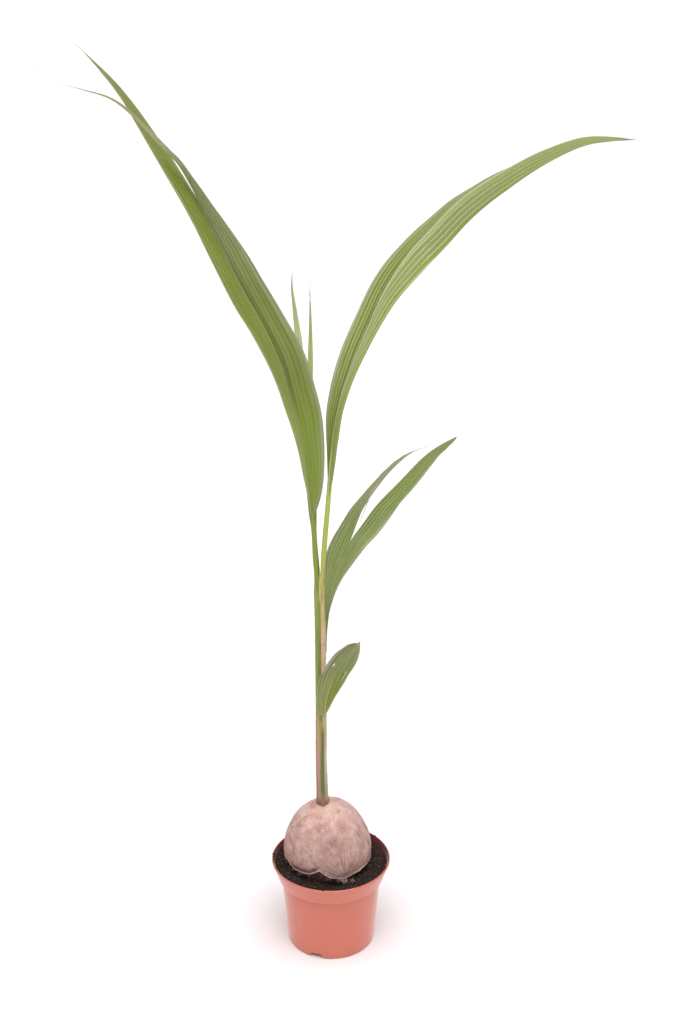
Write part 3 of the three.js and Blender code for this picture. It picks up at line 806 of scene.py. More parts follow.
# The skin of the husk ends in a torn edge near the soil: (degrees round the nut, height).
HUSK_EDGE = [
    (-180, 0.15), (-158, 0.156), (-146, 0.15), (-119, 0.154), (-104, 0.165),
    (-93, 0.154), (-72, 0.148), (-62, 0.1505), (-46, 0.154), (-23, 0.1515),
    (15, 0.149), (60, 0.146), (105, 0.152), (145, 0.147), (180, 0.15),
]
HUSK_EYE = (0.0224, -0.0678, 0.15)  # the eye end, where the husk's fibres meet
TEAR_DEPTH = 0.0036
TEAR_SHADOW_ANGLE = -127  # degrees round the nut to the painted shadow above the tear
FISSURE = ((-0.019, 0.006, 0.245), (-0.03, 0.003, 0.2415))  # its two ends
# Brown stains on the husk, and a broad painted shade on the middle of its front: (place, size in
# metres, strength, colour it is multiplied by).
STAINS_AND_SHADE = [
    ((0.0192, -0.041, 0.2293), 0.017, 0.6, (0.74, 0.58, 0.54)),
    # Partly brown stain and partly painted shade: a broad darkening on the middle of the nut's front.
    ((-0.001, -0.0571, 0.21), 0.036, 0.85, (0.82, 0.79, 0.79)),
    ((-0.0089, -0.0381, 0.2347), 0.012, 0.55, (0.76, 0.64, 0.6)),
    ((-0.0267, -0.0039, 0.2423), 0.011, 0.7, (0.62, 0.5, 0.48)),
    ((-0.0485, -0.0244, 0.2186), 0.012, 0.45, (0.8, 0.7, 0.66)),
    ((0.04, 0.035, 0.215), 0.02, 0.6, (0.72, 0.6, 0.56)),
    ((-0.035, 0.048, 0.205), 0.024, 0.6, (0.76, 0.66, 0.62)),
]


def husk_shape(direction):
    """The smooth nut, for directions on a unit sphere: a leaning egg with three faint ridges."""
    x, y, z = np.moveaxis(direction, -1, 0)
    ridges = np.cos(3 * (np.arctan2(y, x) - math.radians(NUT_RIDGE_ANGLE)))
    radius = NUT_RADIUS * (1 + NUT_RIDGE * ridges * (1 - z * z))
    radius = radius * (1 - NUT_TAPER * np.maximum(z, 0) * (1 - z * z))
    x, y, z = x * radius, y * radius, z * NUT_HALF_HEIGHT
    lean = math.radians(NUT_LEAN)
    leant_x = x * math.cos(lean) - z * math.sin(lean)
    leant_z = z * math.cos(lean) + x * math.sin(lean)
    return triple(leant_x, y, leant_z) + np.array(NUT_CENTRE)


def on_sphere(level, turn):
    """Directions at angles down from the top and round the axis."""
    return polar(np.sin(level), turn, np.cos(level))


def husk_grid():
    """The smooth nut's points, in rows from its top down: fine above the soil, coarse below."""
    shown, buried = np.linspace(0.012, 0.72, 196), np.linspace(0.73, 0.995, 20)
    level = np.concatenate([shown, buried]) * np.pi
    turn = np.linspace(-np.pi, np.pi, 400, endpoint=False)
    return husk_shape(on_sphere(*np.meshgrid(level, turn, indexing="ij")))


def round_the_eye(skin):
    """Each point's direction from the nut's eye end, as seen along its axis, and its distance."""
    eye = np.array(HUSK_EYE)
    axis = unit((eye - np.array(NUT_CENTRE)) * np.array([1, 1, 0.4]))
    right = unit(np.cross(axis, UP))
    above = np.cross(right, axis)
    away = skin - eye
    return unit(np.stack([away @ right, away @ above], -1)), np.linalg.norm(away, axis=-1)


def over_the_tear(skin, azimuth):
    """How far each point lies above the ragged edge where the husk's skin ends."""
    edge_at, edge_height = np.array(HUSK_EDGE).T
    ragged = 0.0007 * noise(triple(azimuth * 0.3, 0, 0) + 50, 43)
    ragged += 0.0005 * noise(triple(azimuth * 0.9, 0, 0) + 50, 44)
    return skin[..., 2] - (np.interp(azimuth, edge_at, edge_height) + ragged)


def build_nut():
    skin = husk_grid()
    out = unit((skin - np.array(NUT_CENTRE)) * np.array([1, 1, (NUT_RADIUS / NUT_HALF_HEIGHT) ** 2]))
    ray, reach = round_the_eye(skin)
    azimuth = np.degrees(np.arctan2(skin[..., 1], skin[..., 0]))
    over = over_the_tear(skin, azimuth)
    torn = smooth(over, 0.0002, -0.0006)
    rim = smooth(over, 0.003, 0.0008) * (1 - torn)
    streak = smooth(reach, 0.082, 0.012) * smooth(ray[..., 1], -0.9, -0.2)

    # Broad dents, pores, fibres that run out from the eye end, and a lip along the tear.
    combed = noise(np.concatenate([ray * 26, reach[..., None] * 30], -1) + 64, 41)
    fine_combed = noise(np.concatenate([ray * 62, reach[..., None] * 70], -1) + 70, 42)
    height = 0.0011 * noise(skin * 30 + 20, 45) + 0.0005 * noise(skin * 85 + 20, 46)
    height += 0.00016 * noise(skin * 330 + 20, 47)
    height += (0.00055 * combed + 0.0003 * fine_combed) * (0.15 + 0.85 * streak)
    height += 0.0011 * rim - TEAR_DEPTH * torn
    frayed = noise(np.concatenate([ray * 20, reach[..., None] * 160], -1) + 64, 48)
    height += 0.0009 * torn * frayed - 0.0015 * smooth(over, -0.004, -0.02)
    # The shoot has lifted a low collar of husk, and a thin fissure runs out from it.
    fissure_depth, fissure = crack(skin)
    height += crater(skin) - fissure_depth

    # Both are coloured dark: the husk's own darker fibre, with painted shade.
    split = np.clip(torn + 0.8 * fissure, 0, 1)
    # A painted shadow: a band just above the tear, at the nut's lower left.
    tear_shadow = smooth(over, 0.012, 0.006) * smooth(over, 0.0018, 0.0034)
    values = {
        "ray": np.concatenate([ray, reach[..., None]], -1),
        "zones": triple(split, rim * smooth(reach, 0.1, 0.03), streak),
        "tear_shadow": tear_shadow * smooth(np.abs(azimuth - TEAR_SHADOW_ANGLE), 30, 14),
    }
    faces = ring_faces(*skin.shape[:2])[:, ::-1]
    mesh = new_mesh("husk", skin + out * height[..., None], faces, values)
    add_piece(mesh, husk_material(), ["nut"])
    build_husk_tufts()


def crater(skin):
    """The husk's raised collar and sunk middle, round the foot of the shoot."""
    x, y = STEM[0][:2]
    reach = np.hypot(skin[..., 0] - x, skin[..., 1] - y)
    collar = 0.0022 * np.exp(-(((reach - 0.0125) / 0.0045) ** 2))
    return smooth(skin[..., 2], 0.2, 0.22) * (collar - 0.003 * smooth(reach, 0.0098, 0.004))


def crack(skin):
    """The fissure's depth, and where it is."""
    start, end = (np.array(point) for point in FISSURE)
    run = end - start
    share = np.clip(((skin - start) @ run) / (run @ run), 0, 1)
    wobble = 0.0006 * np.sin(share * 14)
    near = np.linalg.norm(skin - start - share[..., None] * run, axis=-1) + wobble
    width = 0.0013 * (1 - 0.7 * share)
    mask = smooth(near, width, width * 0.3)
    return 0.0014 * mask, mask


def build_husk_tufts():
    """Loose fibres at the eye end and along the torn edge."""
    rng = np.random.default_rng(51)
    strands = []
    for _ in range(46):
        side = rng.normal(0, 0.0042)
        start = np.array(HUSK_EYE) + [side, -0.0004 + 0.15 * abs(side), rng.uniform(-0.002, 0.002)]
        fall = rng.uniform(0.003, 0.0075)
        middle = start + [side * 0.25, -0.0016, -fall * 0.45]
        end = middle + [rng.normal(0, 0.0014), -0.0002, -fall * 0.6]
        strands.append(strand([start, middle, end], [0.00016, 0.00012, 0.00004], 0.0008))
    edge_at, edge_height = np.array(HUSK_EDGE).T
    for azimuth in rng.uniform(-180, 180, 120):
        height = np.interp(azimuth, edge_at, edge_height)
        turn = math.radians(azimuth)
        start = husk_shape(on_sphere(math.acos((height - NUT_CENTRE[2]) / NUT_HALF_HEIGHT), turn))
        outward = polar(1, turn, 0)
        sideways = polar(1, turn + np.pi / 2, 0) * rng.normal(0, 0.0015)
        drop = UP * rng.uniform(0.0015, 0.0045) / 2
        middle = start + outward * 0.0009 + sideways - drop
        end = middle + sideways - outward * rng.uniform(-0.001, 0.0015) - drop
        start = start - outward * 0.0006
        strands.append(strand([start, middle, end], [0.00014, 0.0001, 0.00004], 0.0008))
    pale = hair_material("husk_fibre", (0.46, 0.36, 0.3), (0.66, 0.57, 0.5))
    add_strands("husk_fibres", strands, pale)


# ---------------------------------------------------------------- stem


def stem_at(height):
    """The stem's centre and radius at a height."""
    table = np.array(STEM)
    return np.array([np.interp(height, table[:, 2], table[:, k]) for k in range(4)])


def beside_stem(angle, height, rib_radius):
    """A point beside the stem at an angle in degrees, clear of its skin by a rib's radius."""
    x, y, z, radius = stem_at(height)
    reach = radius + rib_radius + CLEARANCE
    turn = math.radians(angle)
    return (x + reach * math.cos(turn), y + reach * math.sin(turn), z)


def circle_reach(turn, right, front, radius):
    """How far a circle beside the centre reaches in each direction round it."""
    ahead = right * np.cos(turn) + front * np.sin(turn)
    beside = front * np.cos(turn) - right * np.sin(turn)
    return np.where(np.abs(beside) < radius, ahead + np.sqrt(np.maximum(radius**2 - beside**2, 0)), 0)


def build_stem():
    sides, step = 100, 0.0013
    bundle_top, split_height = 0.385, 0.402
    line = Line(spline([point[:3] for point in STEM]))
    share = np.linspace(0, 1, int(line.length / step))
    height = line.at(share)[:, 2][:, None]
    turn = np.linspace(0, 2 * np.pi, sides, endpoint=False)[None]
    radius = np.interp(height, [row[2] for row in STEM], [row[3] for row in STEM])

    # Low down one round bundle; above leaf 1 a green stalk and a dry sheath side by side.
    bundle = (radius + 0.0004) * (1 + 0.05 * np.cos(2 * turn + 0.6))
    stalk = circle_reach(turn, -0.0032, 0.0004, 0.0052 + 0 * height)
    sleeve = circle_reach(turn, 0.0041, -0.0002, 0.0042 + 0 * height)
    pair = np.maximum(stalk, sleeve)
    split = smooth(height, bundle_top, split_height)
    reach = bundle * (1 - split) + np.maximum(pair, 0.004) * split

    # Overlapping sheath edges run down the bundle, and fibres stand out of it.
    flat = polar(radius, turn, height)
    edge = np.zeros_like(reach)
    for start, drift, size in ((2.75, 2.2, 0.0009), (0.35, -1.6, 0.0008), (4.6, 1.1, 0.0006)):
        ragged = 0.1 * noise(triple(0, 0, height * 160) + start, 61)
        away = (turn - start - drift * (height - 0.3) - ragged + np.pi) % (2 * np.pi) - np.pi
        lap = np.where(away > 0, smooth(away, 1.9, 0.0), smooth(away, -0.1, 0.0))
        reach = reach + size * lap * (1 - split)
        edge = np.maximum(edge, smooth(np.abs(away + 0.03), 0.1, 0.02) * (1 - split))
    fibre = noise(flat * np.array([1300, 1300, 28]) + 90, 62)
    strips = noise(flat * np.array([480, 480, 14]) + 90, 63)
    reach = reach + 0.00016 * fibre + 0.00022 * strips
    foot = smooth(height, 0.262, 0.249) * np.ones_like(turn)
    reach = reach + foot * (0.0006 + 0.0006 * strips)
    reach = reach * (1 - 0.08 * smooth(height, STEM_TOP - 0.03, STEM_TOP - 0.004))
    reach = reach * (0.5 + 0.5 * smooth(height, STEM_TOP, STEM_TOP - 0.005))

    points, faces = limb(line, share, FRONT, reach)
    wave = 0.12 * noise(triple(height * 30, 0, 0) + 7, 64)
    facing_green = smooth(np.cos(turn - 2.95 - wave), -0.12, 0.1)
    green = facing_green * smooth(height, 0.394, 0.414)
    seam = split * smooth(np.abs(turn - 1.42 - wave), 0.22, 0.05)
    right_edge = split * smooth(np.abs(turn - 0.1), 0.5, 0.1) * smooth(height, 0.6, 0.56) * 0.15
    edge = np.maximum(edge, np.maximum(0.35 * seam, right_edge))
    values = {"stalk": flat, "zones": triple(green, foot, edge)}
    mesh = new_mesh("sheath_bundle", points, faces, values)
    skin = sheath_material()
    add_piece(mesh, skin, ["stem"])
    build_sheath_tongue(skin)
    build_sheath_fibres()


def build_sheath_tongue(material):
    """The sheath's mouth: a thin tongue that closes the fork between two stalks."""
    sides, rows, thickness = 16, 60, 0.45
    line = Line(spline(SHEATH_TONGUE))
    share = np.linspace(0, 1, rows)
    along = share[:, None]
    turn = np.linspace(0, 2 * np.pi, sides, endpoint=False)[None]
    width = 0.0021 * np.sqrt(smooth(along, 0.0, 0.25) * smooth(along, 1.0, 0.45) + 0.01)
    reach = width / np.sqrt(np.cos(turn) ** 2 + (np.sin(turn) / thickness) ** 2)
    reach = reach * (1 + 0.1 * noise(triple(turn, along * 14, 0) + 8, 65))
    points, faces = limb(line, share, FRONT, reach)
    flat = polar(reach, turn, line.at(share)[:, 2:])
    values = {"stalk": flat, "zones": np.zeros_like(flat)}
    add_piece(new_mesh("sheath_tongue", points, faces, values), material)


def build_sheath_fibres():
    """Loose fibres on the bundle: a tie round it, frayed edges and the ragged foot."""
    rng = np.random.default_rng(71)
    tie_height, tie_drop, foot_height = 0.5285, 0.0045, 0.244
    x, y, _, radius = stem_at(tie_height)
    turn = np.radians(np.linspace(-205, 25, 15))
    height = np.linspace(tie_height, tie_height - tie_drop, 15)
    loop = triple(x + (radius + 0.0019) * np.cos(turn), y + (radius - 0.0012) * np.sin(turn), height)
    strands = [strand(loop, [0.00012, 0.0003, 0.0003, 0.00012], 0.001)]
    for k in range(70):
        height = rng.uniform(0.258, 0.4) if k % 4 else rng.uniform(0.35, 0.385)
        angle = rng.choice([2.95, 0.15]) + rng.normal(0, 0.25)
        *centre, radius = stem_at(height)
        out = polar(1, -angle, 0)
        start = centre + out * (radius + 0.0002)
        rise = UP * rng.uniform(0.003, 0.011) * rng.choice([-1, 1])
        lift = out * rng.uniform(0.0002, 0.0014)
        points = [start, start + lift + rise / 2, start + lift * rng.uniform(0.4, 2.2) + rise]
        strands.append(strand(points, [0.00014, 0.00012, 0.00005], 0.001))
    *centre, radius = stem_at(foot_height)
    for _ in range(150):
        out = polar(1, rng.uniform(0, 2 * np.pi), 0)
        start = centre + out * (radius + rng.uniform(0.0, 0.0012))
        tip = start + UP * rng.uniform(0.004, 0.013) + out * rng.uniform(-0.0008, 0.0014)
        points = [start, (start + tip) / 2 + out * 0.0005, tip]
        strands.append(strand(points, [0.00045, 0.00032, 0.00006], 0.0012))
    brown = hair_material("sheath_fibre", (0.17, 0.085, 0.055), (0.38, 0.24, 0.17))
    add_strands("sheath_fibres", strands, brown)


# ---------------------------------------------------------------- leaves

# Each leaf is a rib (its stalk and midrib) and two half blades, left and right as seen looking
# outwards along its heading, which is in degrees from +X towards +Y. For a leaf:
#   rib_radii    at the stalk's foot and at the rib's end
#   stalk, deep  how many times wider and deeper than those radii the stalk is low down
#   sunk, tail   how far the stalk runs down inside the stem, and the rib on past its end
#   blade_base   which of the rib's points the half blades start from
#   pleats       how many each half blade has; pleat_depth is in shares of a pleat's width, at
#                even steps along the blade
# A half blade hangs on the rib from its base to the rib's end, and then runs on alone as a
# lobe to its tip. For a half blade:
#   width        the greatest; opening and tip are how fast it widens and narrows
#   folds        degrees at even steps along it: 0 lies level, 90 stands up from the upper face
#   curl         degrees that it bows across
#   roll         (start, end, degrees, place): its margin rolls over, from a place across it
#   slits        (start, end, place across, half the gap in metres)
#   thread       (share along, width) where the tip runs out thin
LEAF_1_LOBE = [(0.022, -0.046, 0.522), (0.041, -0.067, 0.5565)]
LEAF_4_LOBE = [
    (0.273, -0.074, 1.26), (0.324, -0.087, 1.279), (0.358, -0.096, 1.281), (0.39, -0.103, 1.278),
]
LEAVES = [
    {
        "name": "leaf_1", "heading": -48, "rib_radii": (0.0029, 0.0009), "blade_base": 4,
        "stalk": 1.3, "sunk": 0.012, "tail": 0.03, "pleats": 4, "pleat_depth": (0.1, 0.13, 0.11),
        "rib": [
            beside_stem(-84, 0.256, 0.0029), beside_stem(-83, 0.3, 0.0028),
            beside_stem(-80, 0.345, 0.0027), beside_stem(-74, 0.385, 0.0026),
            (-0.0095, -0.012, 0.409), (-0.007, -0.015, 0.435), (-0.002, -0.02, 0.458),
            (0.006, -0.028, 0.488),
        ],
        "left": {
            "lobe": LEAF_1_LOBE, "width": 0.0234, "tip": 0.5, "opening": 0.8, "curl": -22,
            "folds": (-24, -25, -29, -31, -13, 25), "slits": [(0.3, 0.54, 0.74, 0.0003)],
        },
        "right": {
            "lobe": LEAF_1_LOBE, "width": 0.0243, "tip": 0.7, "curl": -22,
            "folds": (-13, -4, 11, 18, 40, 75),
            "roll": (0.5, 1.1, -125, 0.8), "slits": [(0.58, 0.65, 0.33, 0.0005)],
        },
    },
    {
        "name": "leaf_2", "heading": 38, "rib_radii": (0.0024, 0.001), "blade_base": 2,
        "stalk": 1.35, "sunk": 0.0, "tail": 0.004, "pleats": 6, "pleat_depth": (0.1, 0.13, 0.11),
        "rib": [
            beside_stem(54, 0.505, 0.0024), beside_stem(42, 0.535, 0.0023),
            (-0.005, 0.005, 0.562), (0, 0.008, 0.593), (0.007, 0.014, 0.623),
            (0.018, 0.021, 0.653), (0.03, 0.029, 0.68),
        ],
        "left": {
            "lobe": [
                (0.039, 0.035, 0.704), (0.047, 0.04, 0.723), (0.06, 0.048, 0.743),
                (0.087, 0.067, 0.774), (0.113, 0.087, 0.793), (0.13, 0.099, 0.801),
            ],
            "width": 0.0306, "tip": 0.9, "curl": 26,
            "folds": (-22, -18, -5, 16, 16, 0, -10, -13, -14, -4, 4),
            "thread": [(0.93, 0.007), (0.965, 0.0042), (0.985, 0.0015), (1.0, 0.0004)],
        },
        "right": {
            "lobe": [
                (0.047, 0.04, 0.701), (0.07, 0.056, 0.728), (0.1, 0.077, 0.753),
                (0.144, 0.11, 0.788), (0.168, 0.126, 0.8), (0.194, 0.144, 0.808),
            ],
            "width": 0.0332, "tip": 0.6, "folds": (37, 24, -4, -9, -6, 3), "curl": 26,
            "roll": (0.16, 0.6, -60, 0.92),
        },
    },
    {
        "name": "leaf_3", "heading": 194, "rib_radii": (0.0033, 0.001), "blade_base": 3,
        "stalk": 1.5, "deep": 1.4, "sunk": 0.035, "tail": 0.06, "pleats": 6,
        "pleat_depth": (0.03, 0.04, 0.06, 0.06, 0.05),
        "rib": [
            (-0.0198, -0.003, 0.6375), (-0.021, -0.004, 0.669), (-0.023, -0.005, 0.711),
            (-0.026, -0.005, 0.733), (-0.032, -0.007, 0.789), (-0.041, -0.009, 0.851),
            (-0.055, -0.013, 0.911), (-0.068, -0.016, 0.963), (-0.092, -0.022, 1.021),
            (-0.118, -0.028, 1.071), (-0.142, -0.034, 1.124),
        ],
        "left": {
            "lobe": [
                (-0.176, -0.043, 1.198), (-0.219, -0.054, 1.272), (-0.266, -0.065, 1.34),
                (-0.312, -0.077, 1.388),
            ],
            "width": 0.0438, "tip": 0.9, "folds": (-19, -22, -30, -36, -45, -33), "curl": -30,
            "thread": [(0.93, 0.0101), (0.955, 0.0064), (0.975, 0.0032), (0.99, 0.0011), (1.0, 0.0003)],
        },
        "right": {
            "lobe": [
                (-0.1635, -0.039, 1.17), (-0.184, -0.051, 1.218), (-0.198, -0.063, 1.245),
                (-0.211, -0.072, 1.26), (-0.228, -0.083, 1.281), (-0.247, -0.094, 1.305),
                (-0.273, -0.103, 1.327), (-0.305, -0.113, 1.339), (-0.343, -0.123, 1.352),
                (-0.358, -0.127, 1.368),
            ],
            "width": 0.0452, "tip": 2.0, "curl": 34,
            "folds": (55, 59, 68, 68, 64, 90, 121, 150, 116, 95, 90),
            "thread": [(0.8, 0.005), (0.87, 0.003), (0.9, 0.002), (0.93, 0.0006), (1.0, 0.0003)],
        },
    },
    {
        "name": "leaf_4", "heading": -14, "rib_radii": (0.0029, 0.001), "blade_base": 2,
        "stalk": 1.4, "deep": 1.5, "sunk": 0.03, "tail": 0.1, "pleats": 5,
        "pleat_depth": (0.09, 0.13, 0.15, 0.13, 0.08),
        "rib": [
            (-0.0124, -0.003, 0.6375), (-0.0085, -0.004, 0.695), (-0.003, -0.005, 0.758),
            (0.0015, -0.007, 0.815), (0.0115, -0.011, 0.893), (0.031, -0.015, 0.96),
            (0.055, -0.019, 1.02), (0.077, -0.025, 1.072), (0.108, -0.033, 1.122),
            (0.138, -0.04, 1.157), (0.167, -0.048, 1.189), (0.196, -0.055, 1.213),
            (0.234, -0.064, 1.238),
        ],
        "left": {
            "lobe": LEAF_4_LOBE, "width": 0.034, "tip": 0.9, "opening": 0.8, "curl": 20,
            "folds": (25, 58, 50, 20, -5, -18),
        },
        "right": {
            "lobe": LEAF_4_LOBE, "width": 0.033, "tip": 0.9, "opening": 0.8, "curl": -20,
            "folds": (-56, -27, -35, -84, -69, -70),
        },
    },
    {
        "name": "leaf_5", "heading": 122, "rib_radii": (0.0026, 0.0009), "blade_base": 1,
        "stalk": 0.75, "sunk": 0.025, "tail": 0.004, "pleats": 3, "pleat_depth": (0.1, 0.1, 0.08),
        "rib": [
            (-0.017, 0.0045, 0.6378), (-0.021, 0.011, 0.689), (-0.025, 0.027, 0.78),
            (-0.031, 0.042, 0.85), (-0.036, 0.052, 0.9),
        ],
        "left": {
            "lobe": [
                (-0.037, 0.057, 0.934), (-0.04, 0.063, 0.978), (-0.047, 0.069, 1.019),
                (-0.053, 0.073, 1.054), (-0.054, 0.076, 1.076),
            ],
            "width": 0.0142, "tip": 0.9, "opening": 1.4, "folds": (-1, -5, -1, 31), "curl": 35,
        },
        "right": {
            "lobe": [
                (-0.033, 0.057, 0.937), (-0.031, 0.062, 0.98), (-0.0295, 0.066, 1.02),
                (-0.029, 0.068, 1.037), (-0.028, 0.07, 1.063),
            ],
            "width": 0.01, "tip": 1.4, "opening": 1.6, "folds": (20, 31, 50, 60), "curl": 35,
        },
    },
]
PER_SPAN = 40  # dense points between two points of a rib or a lobe
WIDEST_SHAPE = 0.55  # how quickly a half blade widens from its base
LOBE_CLOSING = 0.02  # how fast the lobes' inner edges close in past the rib's end
BLADE_ROW = 0.004  # length of a blade's facets
PLEAT_COLUMNS = 12  # facets across one pleat
RIB_COVER = 0.6  # the share of the rib's radius at which a blade's inner edge lies
LAMINA = 0.00042  # the thickness of a blade
NERVE = 0.00014  # how much thicker it is along a pleat's crest
WAVE_DEPTH = 0.0009
PLEATS_BORN = 0.3  # the share of the pleats that start from the rib on the way up


def rightwards(leaf):
    """The level direction across a leaf, to the right of its heading."""
    return polar(1, math.radians(leaf["heading"] - 90), 0)


def lobe_line(leaf, half):
    """The dense points past the rib's end."""
    return spline(leaf["rib"][-2:] + half["lobe"], PER_SPAN)[PER_SPAN + 1:]


def rib_line(leaf):
    """The rib's dense line: its foot runs down inside the stem, and its end runs out along
    the left lobe as a thin tail."""
    dense = spline(leaf["rib"], PER_SPAN)
    if leaf["sunk"]:
        foot = dense[0] + unit(unit(dense[0] - dense[4]) - UP) * leaf["sunk"]
        dense = np.vstack([foot, (foot + dense[0]) / 2, dense])
    lobe = Line(lobe_line(leaf, leaf["left"]))
    tail = lobe.at(np.linspace(0, leaf["tail"] / lobe.length, 12))
    return np.vstack([dense, tail])


def hanging_line(leaf, half):
    """The line that a half blade hangs on, and how much of its length is rib."""
    rib = spline(leaf["rib"], PER_SPAN)[leaf["blade_base"] * PER_SPAN:]
    line = Line(np.vstack([rib, lobe_line(leaf, half)]))
    return line, Line(rib).length / line.length


def blade_width(half, s):
    """The width of a half blade at a share s of its length, and of its full set of pleats.
    Its end may be held down to a list of (share, width), where it runs out as a thread."""
    opening, closing = half.get("opening", WIDEST_SHAPE), half["tip"]
    widest = opening / (opening + closing)
    narrowing = half["width"] * ((1 - s) / (1 - widest)) ** closing
    width = narrowing * (s / widest) ** opening
    spread = np.where(s < widest, width, half["width"] * np.sqrt(narrowing / half["width"]))
    thread = half.get("thread", [(1.0, 0.0004)])
    limit = np.interp(s, [row[0] for row in thread], [row[1] for row in thread])
    width = np.maximum(np.where(s < thread[0][0], width, np.minimum(width, limit)), 0.00025)
    return width, np.maximum(spread, width)


def blade_grid(leaf, key):
    """A half blade's middle surface: rows of points along it, columns across it."""
    half = leaf[key]
    side = 1 if key == "right" else -1
    line, rib_share = hanging_line(leaf, half)
    u = np.linspace(0, 1, max(int(line.length / BLADE_ROW), 60))
    s = np.clip(u - 0.5 * np.sin(2 * np.pi * u) / (2 * np.pi), 0, 1)
    t = np.linspace(0, 1, PLEAT_COLUMNS * leaf["pleats"] + 1)
    along = line.along(s)
    upper = unit(np.cross(rightwards(leaf), along))
    across = np.cross(along, upper) * side

    # The inner edge lies inside the rib, and past the rib's end it closes on the line itself.
    foot, tip = np.array(leaf["rib_radii"]) * RIB_COVER
    on_rib = foot + (tip - foot) * np.clip(s / rib_share, 0, 1)
    inner = np.where(s > rib_share, np.maximum(tip - (s - rib_share) * LOBE_CLOSING, 0), on_rib)
    width, spread = blade_width(half, s)

    # Folded along its length, bowed across, and rolled over at its margin.
    bow = np.radians(half["curl"]) * smooth(s, 0, 0.15) * smooth(s, 1, 0.75)
    fold = np.radians(between(half["folds"], s))[:, None] + bow[:, None] * (t - 0.5)
    if "roll" in half:
        start, end, angle, place = half["roll"]
        rolled = smooth(s, start, start + 0.12) * smooth(s, end, end - 0.12)
        fold = fold + np.radians(angle) * rolled[:, None] * smooth(t, place, 0.5 + 0.5 * place)
        width = width * (1 + 0.9 * (1 - place) * rolled)
    level, raised = np.cos(fold)[..., None], np.sin(fold)[..., None]
    outward = across[:, None] * level + upper[:, None] * raised
    normal = upper[:, None] * level - across[:, None] * raised
    steps = (outward[:, 1:] + outward[:, :-1]) / 2 / (len(t) - 1)
    path = np.concatenate([np.zeros((len(s), 1, 3)), np.cumsum(steps, axis=1)], axis=1)
    middle = (line.at(s) + across * inner[:, None])[:, None] + path * width[:, None, None]

    # Pleated, with a slight wave, and thicker along each pleat's crest and valley.
    phase = leaf["pleats"] * (t * (width / spread)[:, None] - PLEATS_BORN * s[:, None])
    fold_place = np.abs(phase - np.round(phase))
    ridge = 0.3 * (1 - 4 * fold_place) + 0.7 * np.cos(2 * np.pi * fold_place)
    depth = between(leaf["pleat_depth"], s)[:, None] * (spread / leaf["pleats"])[:, None]
    depth = depth * smooth(t, -0.02, 0.06) * smooth(s, 0.0, 0.06)[:, None]
    run = (s * line.length)[:, None]
    place = triple(t * 2.2, run * 26, 0) + 11 * LEAVES.index(leaf) + 3 * side
    wave = WAVE_DEPTH * noise(place, 81) * t * smooth(width, 0, 0.02)[:, None]
    middle = middle + normal * (depth * ridge + wave)[..., None]
    nerve = np.exp(-((fold_place / 0.1) ** 2)) + 0.6 * np.exp(-(((fold_place - 0.5) / 0.1) ** 2))
    thick = (LAMINA + NERVE * nerve) * (0.45 + 0.55 * smooth(width, 0, 0.004))[:, None]
    return {"s": s, "t": t, "middle": middle, "half_thick": normal * (thick / 2)[..., None],
            "phase": phase, "width": width[:, None], "run": run}


def build_blade(leaf, key, material):
    """One half blade: a thin pleated shell whose veins leave the rib at a small angle."""
    grid = blade_grid(leaf, key)
    s, t, width = grid["s"], grid["t"], grid["width"]
    top, under = grid["middle"] + grid["half_thick"], grid["middle"] - grid["half_thick"]
    lamina = triple(s[:, None], t, grid["phase"])
    edges = [triple((1 - t) * width, grid["run"], above) for above in (1, 0)]
    kept = np.ones((len(s) - 1, len(t) - 1), bool)
    for slit in leaf[key].get("slits", ()):
        kept &= ~slit_cells(s, t, width[:-1], *slit)
    name = f"{leaf['name']}_{key}_lamina"
    values = {"lamina": [lamina, lamina], "edges": edges}
    mesh = shell_mesh(name, top, under, kept, key == "right", s, t, values)
    add_piece(mesh, material, [f"{leaf['name']}_{key}_blade"])


def slit_cells(s, t, width, start, end, place, gape):
    """The cells of a blade's grid that a slit opens, widest at its middle."""
    middle_s = (s[:-1] + s[1:]) / 2
    middle_t = (t[:-1] + t[1:]) / 2
    share = (middle_s - start) / (end - start)
    opening = gape * np.sqrt(np.clip(1 - (2 * share - 1) ** 2, 0, 1))[:, None] / width
    return (np.abs(middle_t - place) < opening) & ((share > 0) & (share < 1))[:, None]


